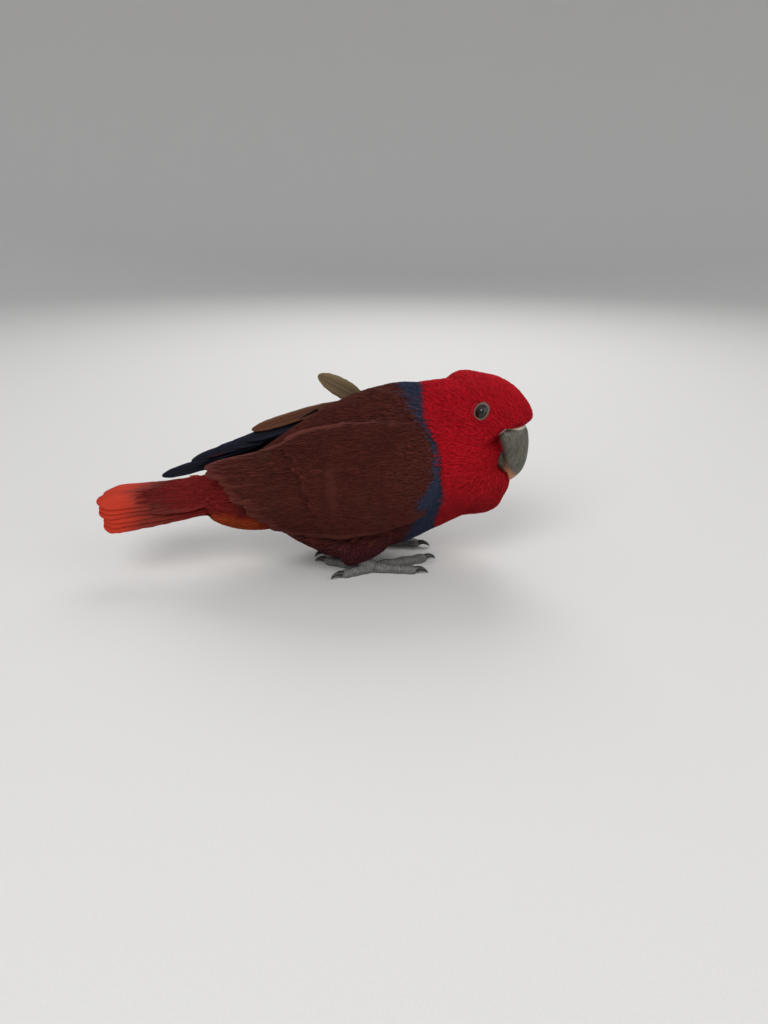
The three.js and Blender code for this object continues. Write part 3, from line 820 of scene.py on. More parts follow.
def coat_piece(name, surface, bed, size, camber=0.0):
    """Feathers in one mesh, each a thin closed blade along the skin from its root to a raised tip.

    bed holds their roots, ways out, places on the baking map, lies and markings, and size their
    lengths, widths and lifts. With a camber they are four-sided vanes, else three-sided strands.
    """
    roots, normals, uv, flow, marks_and_shade = bed
    length, width, lift = (v[:, None] for v in size)
    stations, places = (VANE, (-1, 0, 1, 0)) if camber else (STRAND, (-1, 0, 1))
    count, steps, sides = len(roots), len(stations), len(places)
    middle, middle_up, _ = surface.nearest(roots + flow * (length * 0.5))
    end, end_up, _ = surface.nearest(roots + flow * length)
    p0 = roots - normals * ROOT_DEPTH
    p1 = middle + middle_up * (lift * 0.7)
    p2 = end + end_up * lift
    chance = rng.random(count)
    rings = []
    for t, share in stations:
        a, b, c = (1 - t) * (1 - 2 * t), 4 * t * (1 - t), t * (2 * t - 1)
        centre = p0 * a + p1 * b + p2 * c
        along = unit(p0 * (4 * t - 3) + p1 * (4 - 8 * t) + p2 * (4 * t - 1))
        up = unit(normals * a + middle_up * b + end_up * c)
        across = unit(np.cross(up, along))
        up = np.cross(along, across)
        half = width / 2 * share
        if camber:
            uneven = 1 + rng.normal(0, 0.07, (2, count, 1))
            drop = up * half * camber
            ring = [
                centre - across * half * uneven[0] - drop,
                centre + up * VANE_THICK,
                centre + across * half * uneven[1] - drop,
                centre - up * VANE_THICK * 0.5 - drop * 0.3,
            ]
        else:
            ring = [centre - across * half, centre + up * half * 0.8, centre + across * half]
        rings.append(np.stack(ring, 1))
    body = np.stack(rings, 1).reshape(count, steps * sides, 3)
    points = np.concatenate([body, p2[:, None]], 1)
    local = np.array([(place, t) for t, _ in stations for place in places] + [(0, 1)])
    each = len(local)
    quads = np.roll(ring_quads(steps, sides)[:, ::-1], 1, axis=1)
    last = (steps - 1) * sides + np.arange(sides)
    tip = np.stack([last, np.full(sides, each - 1), np.roll(last, -1)], -1)
    root = np.arange(sides)[None]
    offset = np.arange(count)[:, None, None] * each
    blocks = [(offset + faces).reshape(-1, faces.shape[1]) for faces in (quads, tip, root)]
    piece = mesh_piece(name, points.reshape(-1, 3), *blocks)
    shares = np.broadcast_to(local, (count, each, 2))
    own = np.broadcast_to(chance[:, None, None], (count, each, 1))
    give(piece, "lie", np.concatenate([shares, own], -1).reshape(-1, 3))
    give(piece, "marks_and_shade", np.repeat(marks_and_shade, each, axis=0))
    tile = uv[:, None] + TILE_SIZE * (shares * (0.5, 1) - (0, 0.5))
    give_uv(piece, tile.reshape(-1, 2))
    return piece


# Large feathers: flights, coverts and the tail
# Where a large feather has its vertices: shares of the length, closer at the tip, and of the width.
PLUME_T = np.concatenate([np.linspace(0, 0.78, 17)[:-1], 0.78 + 0.22 * np.sin(np.linspace(0, np.pi / 2, 13))])
PLUME_V = np.array((0, 0.14, 0.3, 0.455, 0.5, 0.545, 0.7, 0.86, 1))
SHAFT_HEIGHT = 0.22  # how far the shaft stands off each face


def plume_width(t, root, blunt):
    """How wide a vane is along its length, as a share of its full width."""
    grown = lerp(root, 1, ease(t / 0.45))
    fall = np.clip((t - blunt) / (1 - blunt), 0, 1)
    return grown * np.sqrt(np.maximum(1 - fall**2 * 0.992, 0))


def plume(place, start, end, width, lean=0.0, camber=0.0, root=0.5, blunt=0.72, thick=0.36, bow=0.0):
    """The two faces of one large feather on a surface: place(x, around, lift) puts its points there."""
    t, v = PLUME_T[:, None], PLUME_V[None]
    start, end = np.array(start, float), np.array(end, float)
    run = end - start
    side = np.array((-run[1], run[0])) / np.hypot(run[0], run[1])
    edge = 1 + rng.normal(0, 0.025, (len(PLUME_T), 1)) * np.abs(2 * v - 1) ** 3
    off = (2 * v - 1) * width / 2 * plume_width(t, root, blunt) * edge
    x, around = (start[i] + run[i] * t + side[i] * off for i in (0, 1))
    lift = start[2] + run[2] * t + lean * off - camber * off**2 + bow * t * (1 - t) * 4
    shaft = SHAFT_HEIGHT * np.exp(-(((v - 0.5) / 0.03) ** 2)) * (1.05 - t)
    shell = thick / 2 * (1 - 0.5 * t) + shaft
    return np.stack([place(x, around, lift + out * shell) for out in (1, -1)])


def plume_piece(name, plumes):
    """Large feathers in one mesh, each closed, with its own square on the baking map."""
    columns, rows = len(PLUME_T), len(PLUME_V)
    index = np.arange(2 * columns * rows).reshape(2, columns, rows)

    def cells(*corners):
        return np.stack(corners, -1).reshape(-1, 4)

    top, under = index
    quads = np.concatenate(
        [
            cells(top[:-1, :-1], top[1:, :-1], top[1:, 1:], top[:-1, 1:]),
            cells(under[:-1, :-1], under[:-1, 1:], under[1:, 1:], under[1:, :-1]),
            cells(top[:-1, 0], under[:-1, 0], under[1:, 0], top[1:, 0]),
            cells(top[1:, -1], under[1:, -1], under[:-1, -1], top[:-1, -1]),
            cells(top[0, 1:], under[0, 1:], under[0, :-1], top[0, :-1]),
            cells(top[-1, :-1], under[-1, :-1], under[-1, 1:], top[-1, 1:]),
        ]
    )
    count, each = len(plumes), index.size
    faces = (np.arange(count)[:, None, None] * each + quads).reshape(-1, 4)
    piece = mesh_piece(name, np.stack(plumes).reshape(count * each, 3), faces)
    edit_all(piece)
    bpy.ops.mesh.normals_make_consistent(inside=False)
    leave_edit()
    across = np.broadcast_to(2 * PLUME_V - 1, (2, columns, rows)).ravel()
    along = np.broadcast_to(PLUME_T[:, None], (2, columns, rows)).ravel()
    across, along = np.tile(across, count), np.tile(along, count)
    give(piece, "lie", np.stack([across, along, np.repeat(rng.random(count), each)], -1))
    grid = math.ceil(math.sqrt(count))
    cell = np.repeat(np.stack([np.arange(count) % grid, np.arange(count) // grid], -1), each, axis=0)
    give_uv(piece, (cell + 0.06 + 0.88 * np.stack([across / 2 + 0.5, along], -1)) / grid)
    return piece


def tier(place, count, start, end, width, vary=1.0, **shape):
    """A row of large feathers between two lines, each line from its first point to its last."""
    made = []
    for i in range(count):
        t = i / (count - 1)
        a, b = (lerp(np.array(line[0], float), np.array(line[1], float), t) for line in (start, end))
        b[0] += vary * math.sin(i * 2.4) + rng.normal(0, 0.25 * vary)
        a[2] += 0.04 * (i % 2)
        made.append(plume(place, a, b, lerp(width[0], width[1], t), **shape))
    return made


def on_tail(x, around, lift):
    """Points over the tail: back from its root, across it and up."""
    x, around, lift = np.broadcast_arrays(x, around, lift)
    return carried(TAIL_FRAME, np.stack([-x, around, lift], -1))


# Name, count, first and last root, first and last tip as (x, around, lift), widths, thickness.
WING_ROWS = (
    ("secondaries", 12, ((-14, -20, 3.2), (-8, 34, 3.2)), ((-52, -27, 4.4), (-104, 22, 5.4)), (15, 13), 0.2),
    ("greater_coverts", 15, ((12, -19, 3), (4, 36, 3)), ((-30, -25, 4.9), (-52, 34, 5.6)), (12, 11), 0.18),
    ("median_coverts", 18, ((24, -19, 2.4), (16, 35, 2.4)), ((-12, -23, 4.9), (-29, 33, 5.4)), (10, 9), 0.15),
    ("lesser_coverts", 21, ((34, -18, 2.0), (28, 33, 2.0)), ((5, -21, 4.4), (-9, 31, 5.0)), (8, 7.5), 0.13),
)
PRIMARIES = 6


def make_wing(side, name):
    """Rows of large feathers over the arm, and the flights under them."""
    place = partial(flank, side)
    rows = []
    for row, count, start, end, width, thick in WING_ROWS:
        vanes = tier(place, count, start, end, width, 1.8, lean=0.055, thick=thick)
        rows.append(plume_piece(f"{row}_{name}", vanes))
        dress(rows[-1], vanes_wing, "wing_feathers", "wing_" + name)
    far, high = (-109, 43) if side == LEFT else (-99, 35)
    start = ((-30, 26, 1.4), (-28, high, 1.4))
    end = ((far + 17, 9, 1.3), (far, 18, 3.6))
    flights = tier(place, PRIMARIES, start, end, (10, 10), 1.0, root=0.8, camber=0.01)
    dress(plume_piece("primary_vanes_" + name, flights), vanes_dark, "flight_feathers", "primaries_" + name)
    return rows


def standing(root, tip, facing):
    """A flat place for a feather that stands clear: x runs from its root to its tip."""
    along = unit(tip - root)
    across = unit(np.cross(facing, along))
    over = np.cross(along, across)

    def place(x, around, lift):
        x, around, lift = (v[..., None] for v in np.broadcast_arrays(x, around, lift))
        return root + along * x + across * around + over * (lift - 0.012 * around**2)

    return place, float(np.linalg.norm(tip - root))


LOOSE = (  # root and tip on her left flank as (x, around, lift), width, how blunt, and the finish
    ("loose_feather", (8, 33, 1), (-20, 52, 20), 13.5, 0.5, "pale"),
    ("loose_feather_low", (-4, 40, 2), (-67, 38, 13), 7.5, 0.72, "tan"),
    # the far flights lie in the gap between the wings; their near-black finish is their own dark blue
    # deepened with painted shade
    ("far_flight_1", (-12, 38, 0), (-74, 36, 9), 9, 0.72, "dark"),
    ("far_flight_2", (-20, 37, 0), (-83, 33, 7.5), 9, 0.72, "dark"),
    ("far_flight_3", (-28, 34, 0), (-92, 29, 7), 9, 0.72, "dark"),
    ("far_flight_4", (-38, 30, 0), (-101, 24, 6.5), 9, 0.72, "dark"),
    ("far_flight_5", (-48, 26, 1), (-112, 18, 6.5), 9, 0.72, "dark"),
    ("far_flight_6", (-66, 20, 2), (-134, 8, 7), 8, 0.72, "dark"),
)
LOOSE_FACING = np.array((-0.15, -0.85, 0.5))  # the way their flat sides look


def make_loose(finishes):
    """Feathers of her left wing that stand out of place and show over her back."""
    for name, root, tip, width, blunt, finish in LOOSE:
        place, length = standing(flank(LEFT, *root), flank(LEFT, *tip), LOOSE_FACING)
        vane = plume(place, (0, 0, 0), (length, 0, 0), width, root=0.35, blunt=blunt, bow=1.2)
        dress(plume_piece(name, [vane]), finishes[finish], "wing_feathers")


TAIL_FEATHERS, TAIL_COVERTS = 12, 45
TAIL_SPREAD = 15.5  # how far the outermost tips lie from the middle


def make_tail():
    """The tail's feathers as a low roof, with rows of coverts over and under their roots."""

    def roofed(x, around, lift):
        return on_tail(x, around, lift - 0.007 * around**2)

    last = (TAIL_FEATHERS - 1) / 2
    feathers = []
    for i in range(TAIL_FEATHERS):
        k = i - last
        rank = math.floor(abs(k))
        low = 2.4 - 0.42 * (2 * rank + (k > 0))
        end = (73 - 0.9 * rank - i % 3, k * TAIL_SPREAD / last - 1.5, low)
        shape = {"root": 0.8, "blunt": 0.86, "camber": 0.004, "thick": 0.16}
        feathers.append(plume(roofed, (4, k * 2.0, low), end, 13.5, **shape))
    flights = plume_piece("rectrices", feathers)
    dress(flights, vanes_tail, "tail_feathers", "tail")
    for up, name, wide, length, depth, material in (
        (1, "upper", 13, 44, (8.5, 2.7), vanes_rump),
        (-1, "under", 15, 46, (14, 7.5), vanes_vent),
    ):

        def over(x, around, lift):
            return on_tail(x, around, up * (lift - lerp(0.03, 0.01, ease(x / 40)) * around**2))

        coverts = []
        for i in range(TAIL_COVERTS):
            k = ((i * 13) % TAIL_COVERTS) / (TAIL_COVERTS - 1) * 2 - 1
            layer = i / 9
            start = (-7 + 1.2 * layer, k * wide * 0.8, depth[0] + 0.2 * layer)
            end = (length - 6 * layer - 5 * k * k, k * wide - up, depth[1] + 0.2 * layer)
            coverts.append(plume(over, start, end, 7.5, blunt=0.5, thick=0.1, bow=0.3))
        vanes = plume_piece("tail_coverts_" + name, coverts)
        dress(vanes, material, "tail_feathers", "tail")
        make_tail_haze(up, name, (flights, vanes))


# Finishes. Colours are linear.
MAROON = (0.072, 0.0145, 0.0105)
OLIVE = (0.060, 0.027, 0.0135)
CRIMSON = (0.43, 0.0045, 0.0125)
SLATE = (0.026, 0.033, 0.062)
EMBER = (0.17, 0.0105, 0.0095)
PLUM = (0.052, 0.0095, 0.0135)
ORANGE = (0.27, 0.037, 0.008)
FLAME = (0.38, 0.028, 0.012)
VANE_EDGE = (0.084, 0.0150, 0.0105)
TAIL_RED = (0.158, 0.0195, 0.0125)
RUMP_END = (0.096, 0.0135, 0.0095)
VENT_ROOT = (0.10, 0.012, 0.008)
# near-black blue of the flight feathers: their own dark blue, deepened with painted shade for the gap between
# the wings
GAP_SHADED_INK, GAP_SHADED_INK_EDGE = (0.005, 0.0055, 0.008), (0.009, 0.010, 0.021)
TAN, TAN_EDGE = (0.062, 0.021, 0.013), (0.100, 0.041, 0.020)
PALE, PALE_EDGE = (0.100, 0.068, 0.038), (0.160, 0.112, 0.060)
HORN, HORN_LIGHT = (0.034, 0.031, 0.023), (0.105, 0.094, 0.068)
LOWER_HORN, LOWER_LIGHT = (0.030, 0.022, 0.015), (0.062, 0.046, 0.030)
HORN_TIP, HORN_BROWN, HORN_CREAM = (0.40, 0.17, 0.075), (0.075, 0.042, 0.022), (0.46, 0.42, 0.33)
CLAW, CLAW_LIGHT = (0.010, 0.009, 0.008), (0.026, 0.023, 0.020)
PUPIL, IRIS, IRIS_LIGHT = (0.0015, 0.0015, 0.0015), (0.008, 0.005, 0.0035), (0.022, 0.012, 0.007)
EYE_WHITE = (0.004, 0.003, 0.0025)
LID_GREY, LID_LIGHT, LID_RED = (0.075, 0.062, 0.042), (0.13, 0.11, 0.078), (0.13, 0.012, 0.012)
TOE, TOE_LIGHT, TOE_GROOVE = (0.085, 0.080, 0.078), (0.15, 0.142, 0.135), (0.035, 0.032, 0.032)


def feathered(name, paint, roughness=0.72, fineness=150.0):
    """A feather finish. paint(wire, across, along, chance) gives the colour before the painted shade towards
    the roots and the random unevenness.
    """
    material, wire = new_material(name)
    across, along, chance = wire.attribute("lie").parts()
    colour = paint(wire, across, along, chance)
    uneven = 0.80 + 0.20 * chance + 0.24 * wire.noise(140.0, 3.0)
    # painted shade: each feather darker towards its root, where the feathers over it shade it; the bare skin
    # under the coat, with no lie, gets the darkest of it
    tone = (0.78 + 0.3 * along.step(0.0, 0.8)) * uneven
    barbs = ((abs(across) * 0.35 - along) * fineness).sine()
    close_material(
        wire,
        0.5 * barbs + 0.6 * wire.noise(900.0, 2.0),
        0.00004,
        Base_Color=tone.shade(colour),
        Roughness=wire.noise(300.0).step(0.2, 0.8) * 0.12 + (roughness - 0.06),
        Specular_IOR_Level=0.1,
    )
    return material


def maroon(wire):
    """Maroon with faint olive patches."""
    return (wire.noise(45.0, 2.0).step(0.5, 0.8) * 0.4).blend(MAROON, OLIVE)


def paint_coat(wire, across, along, chance):
    """The markings that skin and coat share, with the painted shade low on the bib, over maroon."""
    crimson, slate, ember = wire.attribute("marks_and_shade", 0).parts()
    colour = wire.attribute("marks_and_shade", 3).blend(maroon(wire), PLUM)
    colour = ember.blend(colour, EMBER)
    colour = (ember - 1.0).blend(colour, ORANGE)
    colour = slate.blend(colour, SLATE)
    # crimson share includes painted shade low on the bib
    return crimson.blend(colour, CRIMSON)


def paint_wing(wire, across, along, chance):
    """Maroon vanes, redder along their edges."""
    edge = abs(across).step(0.55, 1.0) * 0.35
    return edge.blend(maroon(wire), VANE_EDGE)


def paint_tail(wire, across, along, chance):
    """Dull red with a bright orange-red end."""
    streaks = wire.noise(1.0, 3.0, 0.6, wire.attribute("lie").scaled((7.0, 0.9, 40.0)))
    frayed = along + 0.05 * (chance - 0.5) + 0.28 * (streaks - 0.5)
    colour = along.step(0.1, 0.5).blend(EMBER, TAIL_RED)
    return frayed.step(0.56, 0.84).blend(colour, FLAME)


def paint_rump(wire, across, along, chance):
    """Ember that darkens towards the tips."""
    return along.step(0.2, 0.8).blend(EMBER, RUMP_END)


def paint_vent(wire, across, along, chance):
    """Orange feathers with dark roots."""
    return along.step(0.2, 0.9).blend(VENT_ROOT, ORANGE)


def plain_paint(inner, outer):
    """One colour along the middle and another at the edges and the shaft."""

    def paint(wire, across, along, chance):
        colour = abs(across).step(0.1, 0.9).blend(inner, outer)
        return abs(across).step(0.09, 0.03).blend(colour, outer)

    return paint


def horn(name, tip, dark, light):
    """Horn with growth lines: paler at the tip, brown along the cutting edge, cream at the feather line."""
    material, wire = new_material(name)
    place, rise, inward = wire.attribute("growth").parts()
    streaks = wire.noise(700.0, 4.0, 0.6)
    grain = wire.noise(0.9, 3.0, 0.6, wire.attribute("grain"))
    mottle = 0.25 * streaks + 0.25 * wire.noise(160.0, 2.0) + 0.5 * grain
    colour = mottle.step(0.36, 0.64).blend(dark, light)
    colour = (inward.step(0.25, 0.6) * place.step(0.62, 0.5)).blend(colour, HORN_BROWN)
    colour = (place + 0.05 * (wire.noise(500.0) - 0.5)).step(*tip).blend(HORN_TIP, colour)
    colour = (rise + 1.6 * (wire.noise(600.0) - 0.5)).step(-4.4, -3.0).blend(colour, HORN_CREAM)
    lines = (place * 160.0 + wire.noise(200.0) * 6.0).sine()
    close_material(
        wire,
        0.35 * lines + 0.8 * streaks,
        0.00006,
        Base_Color=colour,
        Roughness=0.30 + 0.22 * streaks,
        Specular_IOR_Level=0.5,
    )
    return material


def claw_finish():
    """Dark horn of two close tones, with a fine bump."""
    material, wire = new_material("claw_horn")
    grain = wire.noise(500.0, 4.0, 0.6)
    colour = grain.step(0.3, 0.7).blend(CLAW, CLAW_LIGHT)
    close_material(wire, grain, 0.00005, Base_Color=colour, Roughness=0.32, Specular_IOR_Level=0.5)
    return material


def eye_finish():
    """A dark brown iris round a black pupil, under a wet clear coat."""
    material, wire = new_material("eye_gloss")
    turn = wire.attribute("gaze").parts()[0]
    fibres = wire.noise(1500.0, 3.0, 0.7)
    iris = fibres.step(0.35, 0.7).blend(IRIS, IRIS_LIGHT)
    iris = turn.step(IRIS_TURN, IRIS_TURN + 0.1).blend(iris, EYE_WHITE)
    colour = turn.step(PUPIL_TURN, PUPIL_TURN + 0.05).blend(PUPIL, iris)
    wet = {"Coat_Weight": 0.8, "Coat_Roughness": 0.02}
    close_material(wire, Base_Color=colour, Roughness=0.35, Specular_IOR_Level=0.05, **wet)
    return material


def lid_finish():
    """Grey-olive bare skin at the eye's edge that turns dusky red under the feathers."""
    material, wire = new_material("lid_skin")
    out = wire.attribute("rim").parts()[0]
    grain = wire.noise(900.0, 4.0, 0.6)
    rim = grain.step(0.3, 0.7).blend(LID_GREY, LID_LIGHT)
    colour = (out + 0.9 * (grain - 0.5)).step(4.9, 5.6).blend(rim, LID_RED)
    close_material(wire, grain, 0.00005, Base_Color=colour, Roughness=0.5, Specular_IOR_Level=0.4)
    return material


def toe_finish():
    """Grey scaly skin, darker between the scales."""
    material, wire = new_material("toe_skin")
    groove = wire.attribute("scute").parts()[0]
    mottle = wire.noise(400.0, 4.0, 0.6)
    colour = mottle.step(0.3, 0.7).blend(TOE, TOE_LIGHT)
    colour = groove.blend(colour, TOE_GROOVE)
    fine = wire.node("ShaderNodeTexVoronoi", {"Vector": wire.place(), "Scale": 1500.0})
    rough = 0.55 + 0.15 * mottle
    close_material(wire, fine, 0.0001, Base_Color=colour, Roughness=rough, Specular_IOR_Level=0.4)
    return material


# Bill
def make_upper_bill():
    """The hooked upper bill, swept round its hinge, with a keel and cutting edges."""
    curve = through(UPPER_BILL)
    steps, around = 60, 48
    tip, root = UPPER_BILL[0][0], UPPER_BILL[-1][0]
    degrees = lerp(tip, root, np.linspace(0, 1, steps + 1) ** 1.25)[:, None]
    outer, inner, half = (curve(degrees, c) for c in (1, 2, 3))
    turn = np.linspace(0, 2 * np.pi, around, endpoint=False)[None]
    front = np.maximum(np.cos(turn), 0)
    back = np.maximum(-np.cos(turn), 0)
    reach = lerp(inner, outer, (1 + np.cos(turn)) / 2)
    keel = 0.35 * front**8 * ease((degrees + 44) / 20)
    edge = np.exp(-(((np.abs(np.sin(turn / 2)) - 0.86) / 0.09) ** 2)) * ease((degrees + 46) / 12)
    palate = 1.6 * back**2 * ease((degrees + 40) / 15)
    growth = 0.05 * np.sin(degrees * 1.9 + 2 * front) * ease((degrees + 40) / 10)
    reach = reach + keel + palate - 0.5 * edge + growth
    out = half * (1 - 0.25 * front) * np.sin(turn) * (1 + 0.05 * edge) + growth * np.sin(turn)
    angle = np.radians(degrees)
    rings = np.stack([BILL_HINGE[0] + reach * np.cos(angle), out, BILL_HINGE[1] + reach * np.sin(angle)], -1)
    piece = rings_piece("upper_bill", rings, HEAD_FRAME)

    def for_vertices(poles, *values):
        """Values over the rings and then at the two poles."""
        columns = [np.broadcast_to(value, reach.shape).ravel() for value in values]
        return np.concatenate([np.stack(columns, -1), poles])

    share = (degrees - tip) / (root - tip)
    rise = degrees - feather_line((1 + np.cos(turn)) / 2)
    give(piece, "growth", for_vertices([(0, -90, 0), (1, 90, 0)], share, rise, back))
    give(piece, "grain", for_vertices(np.zeros((2, 3)), degrees / 22, out, reach))
    finish = horn("bill_horn", (0.05, 0.17), HORN, HORN_LIGHT)
    return dress(piece, finish, "bill", "bill_upper")


def make_lower_bill():
    """The lower bill, a scoop that closes inside the upper one."""
    root, tip = LOWER_BILL[0][0], LOWER_BILL[-1][0]
    piece = lofted("lower_bill", profile(LOWER_BILL), root, tip - 0.3, 0, HEAD_FRAME)
    points = carried(HEAD_FRAME.inverted(), coordinates(piece.data))
    share = (tip - points[:, 0]) / (tip - root)
    give(piece, "growth", np.stack([share, np.full(len(share), -90.0), 0 * share], -1))
    give(piece, "grain", points * (0.15, 1, 1))
    finish = horn("lower_horn", (0.02, 0.2), LOWER_HORN, LOWER_LIGHT)
    return dress(piece, finish, "bill", "bill_lower")


# Eyes
EYE_FORWARD, EYE_UP = 7, math.radians(20)  # where it looks out of the head: x and angle up its side
EYE_DEPTH = 0.9  # how deep it is set
EYE_RADIUS, EYE_SINK = 6, 4  # the ball and how far its middle lies behind the lids
IRIS_TURN, PUPIL_TURN = 0.62, 0.33  # how far both reach, in radians from the gaze
EYE_OVAL = (0.86, 1.08)  # how much the lids and the ball are narrowed and heightened
LID = (  # the lids' section from the inner edge out and back under: distance from the gaze, height
    (4.1, 0.2),
    (4.2, 0.5),
    (4.45, 0.7),
    (4.8, 0.6),
    (5.2, 0.3),
    (5.7, -0.2),
    (6.3, -1.3),
    (5.4, -2.2),
    (4.15, -1.4),
)


def eye_frame(side):
    """Where an eye looks out of the head: its z runs out along the gaze and its y up the face."""

    def surface(x, angle):
        mid, half, up, _ = (float(v) for v in head_at(np.array(float(x))))
        return np.array((x, half * math.cos(angle), mid + up * math.sin(angle)))

    at = surface(EYE_FORWARD, EYE_UP)
    forward = surface(EYE_FORWARD + 0.5, EYE_UP) - surface(EYE_FORWARD - 0.5, EYE_UP)
    upward = surface(EYE_FORWARD, EYE_UP + 0.02) - surface(EYE_FORWARD, EYE_UP - 0.02)
    gaze = unit(np.cross(upward, forward))
    gaze *= np.sign(gaze[1])
    at = at - gaze * EYE_DEPTH
    at, gaze, upward = (v * (1, side, 1) for v in (at, gaze, unit(upward)))
    local = np.identity(4)
    local[:3, 0], local[:3, 1], local[:3, 2], local[:3, 3] = np.cross(upward, gaze), upward, gaze, at
    return HEAD_FRAME @ Matrix(local.tolist())


def make_eyeball(name, gaze_frame):
    """A ball that bulges a little at the iris."""
    shape = {"segments": 48, "ring_count": 36, "radius": EYE_RADIUS}
    ball = primitive(bpy.ops.mesh.primitive_uv_sphere_add, "eyeball_" + name, **shape)
    co = read(ball.data.vertices, "co", 3)
    turn = np.arccos(np.clip(co[:, 2] / EYE_RADIUS, -1, 1))
    give(ball, "gaze", turn)
    co[:, 2] += 0.45 * ease((IRIS_TURN - turn) / IRIS_TURN) - EYE_SINK
    co[:, :2] *= EYE_OVAL
    place_points(ball, carried(gaze_frame, co))
    ball.data.shade_smooth()
    dress(ball, eye_gloss, "eye", "eye_" + name)


def make_lids(name, gaze_frame):
    """A ring of bare skin round the eye, with a fold and fine beads."""
    lid = primitive(bpy.ops.mesh.primitive_circle_add, "lids_" + name, vertices=72, radius=LID[0][0])
    edit_all(lid)
    bpy.ops.transform.translate(value=(0, 0, LID[0][1]))
    for (radius, height), (wider, higher) in zip(LID, LID[1:]):
        bpy.ops.mesh.extrude_edges_move(TRANSFORM_OT_translate={"value": (0, 0, higher - height)})
        bpy.ops.transform.resize(value=(wider / radius, wider / radius, 1), center_override=(0, 0, 0))
    bpy.ops.mesh.select_all(action="DESELECT")
    bpy.ops.mesh.select_non_manifold()
    bpy.ops.mesh.bridge_edge_loops()
    bpy.ops.mesh.select_all(action="SELECT")
    bpy.ops.mesh.normals_make_consistent(inside=False)
    bpy.ops.transform.resize(value=(*EYE_OVAL, 1), center_override=(0, 0, 0))
    leave_edit()
    apply_modifier(lid, "SUBSURF", levels=2, render_levels=2)
    co = read(lid.data.vertices, "co", 3)
    radius, angle = np.hypot(co[:, 0], co[:, 1]), np.arctan2(co[:, 1], co[:, 0])
    fold = np.exp(-(((radius - 5.0) / 0.7) ** 2)) * (co[:, 2] > 0)
    bead = np.sin(angle * 34 + 3 * np.sin(radius * 3)) * 0.06 + np.sin(radius * 9) * 0.05
    co[:, 2] += fold * bead
    give(lid, "rim", np.hypot(co[:, 0] / EYE_OVAL[0], co[:, 1] / EYE_OVAL[1]))
    place_points(lid, carried(gaze_frame, co))
    lid.data.shade_smooth()
    dress(lid, lid_skin, "foot_skin")


# Feet
TOES = (  # name, turn from straight ahead in degrees, length, half width
    ("hallux", 162, 20, 3.4),
    ("inner", 14, 27, 3.6),
    ("middle", -16, 37, 3.9),
    ("outer", -152, 32, 3.7),
)
TOE_ROOT = 2  # the x where the toes meet
SOLE = 2.5  # the height of a toe's middle
# The shank up into the thigh: x, height, half width and half depth.
SHANK = ((TOE_ROOT, 3.2, 5, 4.5), (-6, 9, 4.2, 4), (-10, 11.5, 3.6, 3.4), (-13, 13, 2, 2))
ANKLE = 8.5  # the height up to which the scales run along the toes
SCALE_LENGTH, SCALE_HEIGHT = 1.9, 0.22
FOOT_VOXEL = 0.45


def toe_line(side, turn, rows):
    """Tube rows along a toe from rows of (distance, height, half width, half depth)."""
    c, n = math.cos(math.radians(turn)), math.sin(math.radians(turn)) * side
    return [(TOE_ROOT + c * run, side * STANCE + n * run, z, a, b) for run, z, a, b in rows]


def foot_forms(side, name):
    """Tubes for the toes, with pads along them, and for the shank."""
    for _, turn, length, thick in TOES:
        rows = []
        for i, t in enumerate((0, 0.25, 0.45, 0.62, 0.8, 0.95)):
            r = thick * (1.07 if i % 2 else 0.93) * (1 - 0.14 * t)
            rows.append((length * t, SOLE - 0.5 * t, r, r))
        rows.append((length + 1.6, SOLE - 0.4, thick * 0.68, thick * 0.7))
        rows.append((length + 2.9, SOLE - 0.4, thick * 0.25, thick * 0.25))
        yield tube("toes_" + name, toe_line(side, turn, rows), 0)
    yield tube("shank_form", [(x, side * STANCE, *row) for x, *row in SHANK], 0)


def scales(side, points, normals):
    """How high the scales stand at points of a foot, and how dark the grooves are between them."""
    nearest = np.full(len(points), 1e9)
    along = np.zeros(len(points))
    for _, turn, length, _ in TOES:
        angle = math.radians(turn) * side
        local = points[:, :2] - (TOE_ROOT, side * STANCE)
        run = local @ (math.cos(angle), math.sin(angle))
        off = np.abs(local @ (-math.sin(angle), math.cos(angle)))
        nearer = (run > 0) & (run < length + 6) & (off < nearest) & (points[:, 2] < ANKLE)
        nearest[nearer], along[nearer] = off[nearer], run[nearer]
    shank = (nearest > 20) | (points[:, 2] > ANKLE)
    along[shank] = points[shank, 2] * 1.2
    wave = np.abs((along / SCALE_LENGTH) % 1 - 0.5) * 2
    top = ease((normals[:, 2] + 0.35) / 0.5)
    top[shank] = 1
    return SCALE_HEIGHT * (1 - wave**4) * top, ease((wave - 0.72) / 0.28) * top


def make_foot(side, name):
    """Toes with pads, scales and claws, on a short shank."""
    foot = joined(list(foot_forms(side, name)))
    points = coordinates(foot.data)
    points[:, 2] = np.maximum(points[:, 2], 0)
    place_points(foot, points)
    remesh(foot, FOOT_VOXEL, 6)
    points, normals = coordinates(foot.data), read(foot.data.vertices, "normal", 3)
    height, groove = scales(side, points, normals)
    points = points + normals * height[:, None]
    points[:, 2] = np.maximum(points[:, 2], 0)
    place_points(foot, points)
    foot.data.shade_smooth()
    give(foot, "scute", groove)
    dress(foot, toe_skin, "foot_skin", "foot_" + name)
    for toe, turn, length, _ in TOES:
        rows = [(length - 1, 2.1, 1.7, 1.8), (length + 2.2, 3.0, 1.9, 2.1), (length + 5, 3.5, 1.5, 1.7)]
        rows += [(length + 8, 2.6, 0.95, 1.05), (length + 10, 0.9, 0.3, 0.3)]
        claw = tube(f"talon_{toe}_{name}", toe_line(side, turn, rows), 0, steps=24, around=20)
        dress(claw, claw_horn, "claw", f"claw_{toe}_{name}")


# Coat
COAT_ROOTS = 170000  # places tried over the skin, before they are thinned
EYE_BARE = 5.4  # how far from an eye's middle the skin is bare
COAT_END, COAT_FOOT = -106, 8  # the last x and the lowest z of the coat
STRAY, VARIETY = 0.09, 0.08  # how much feathers turn from the lie, and differ in size


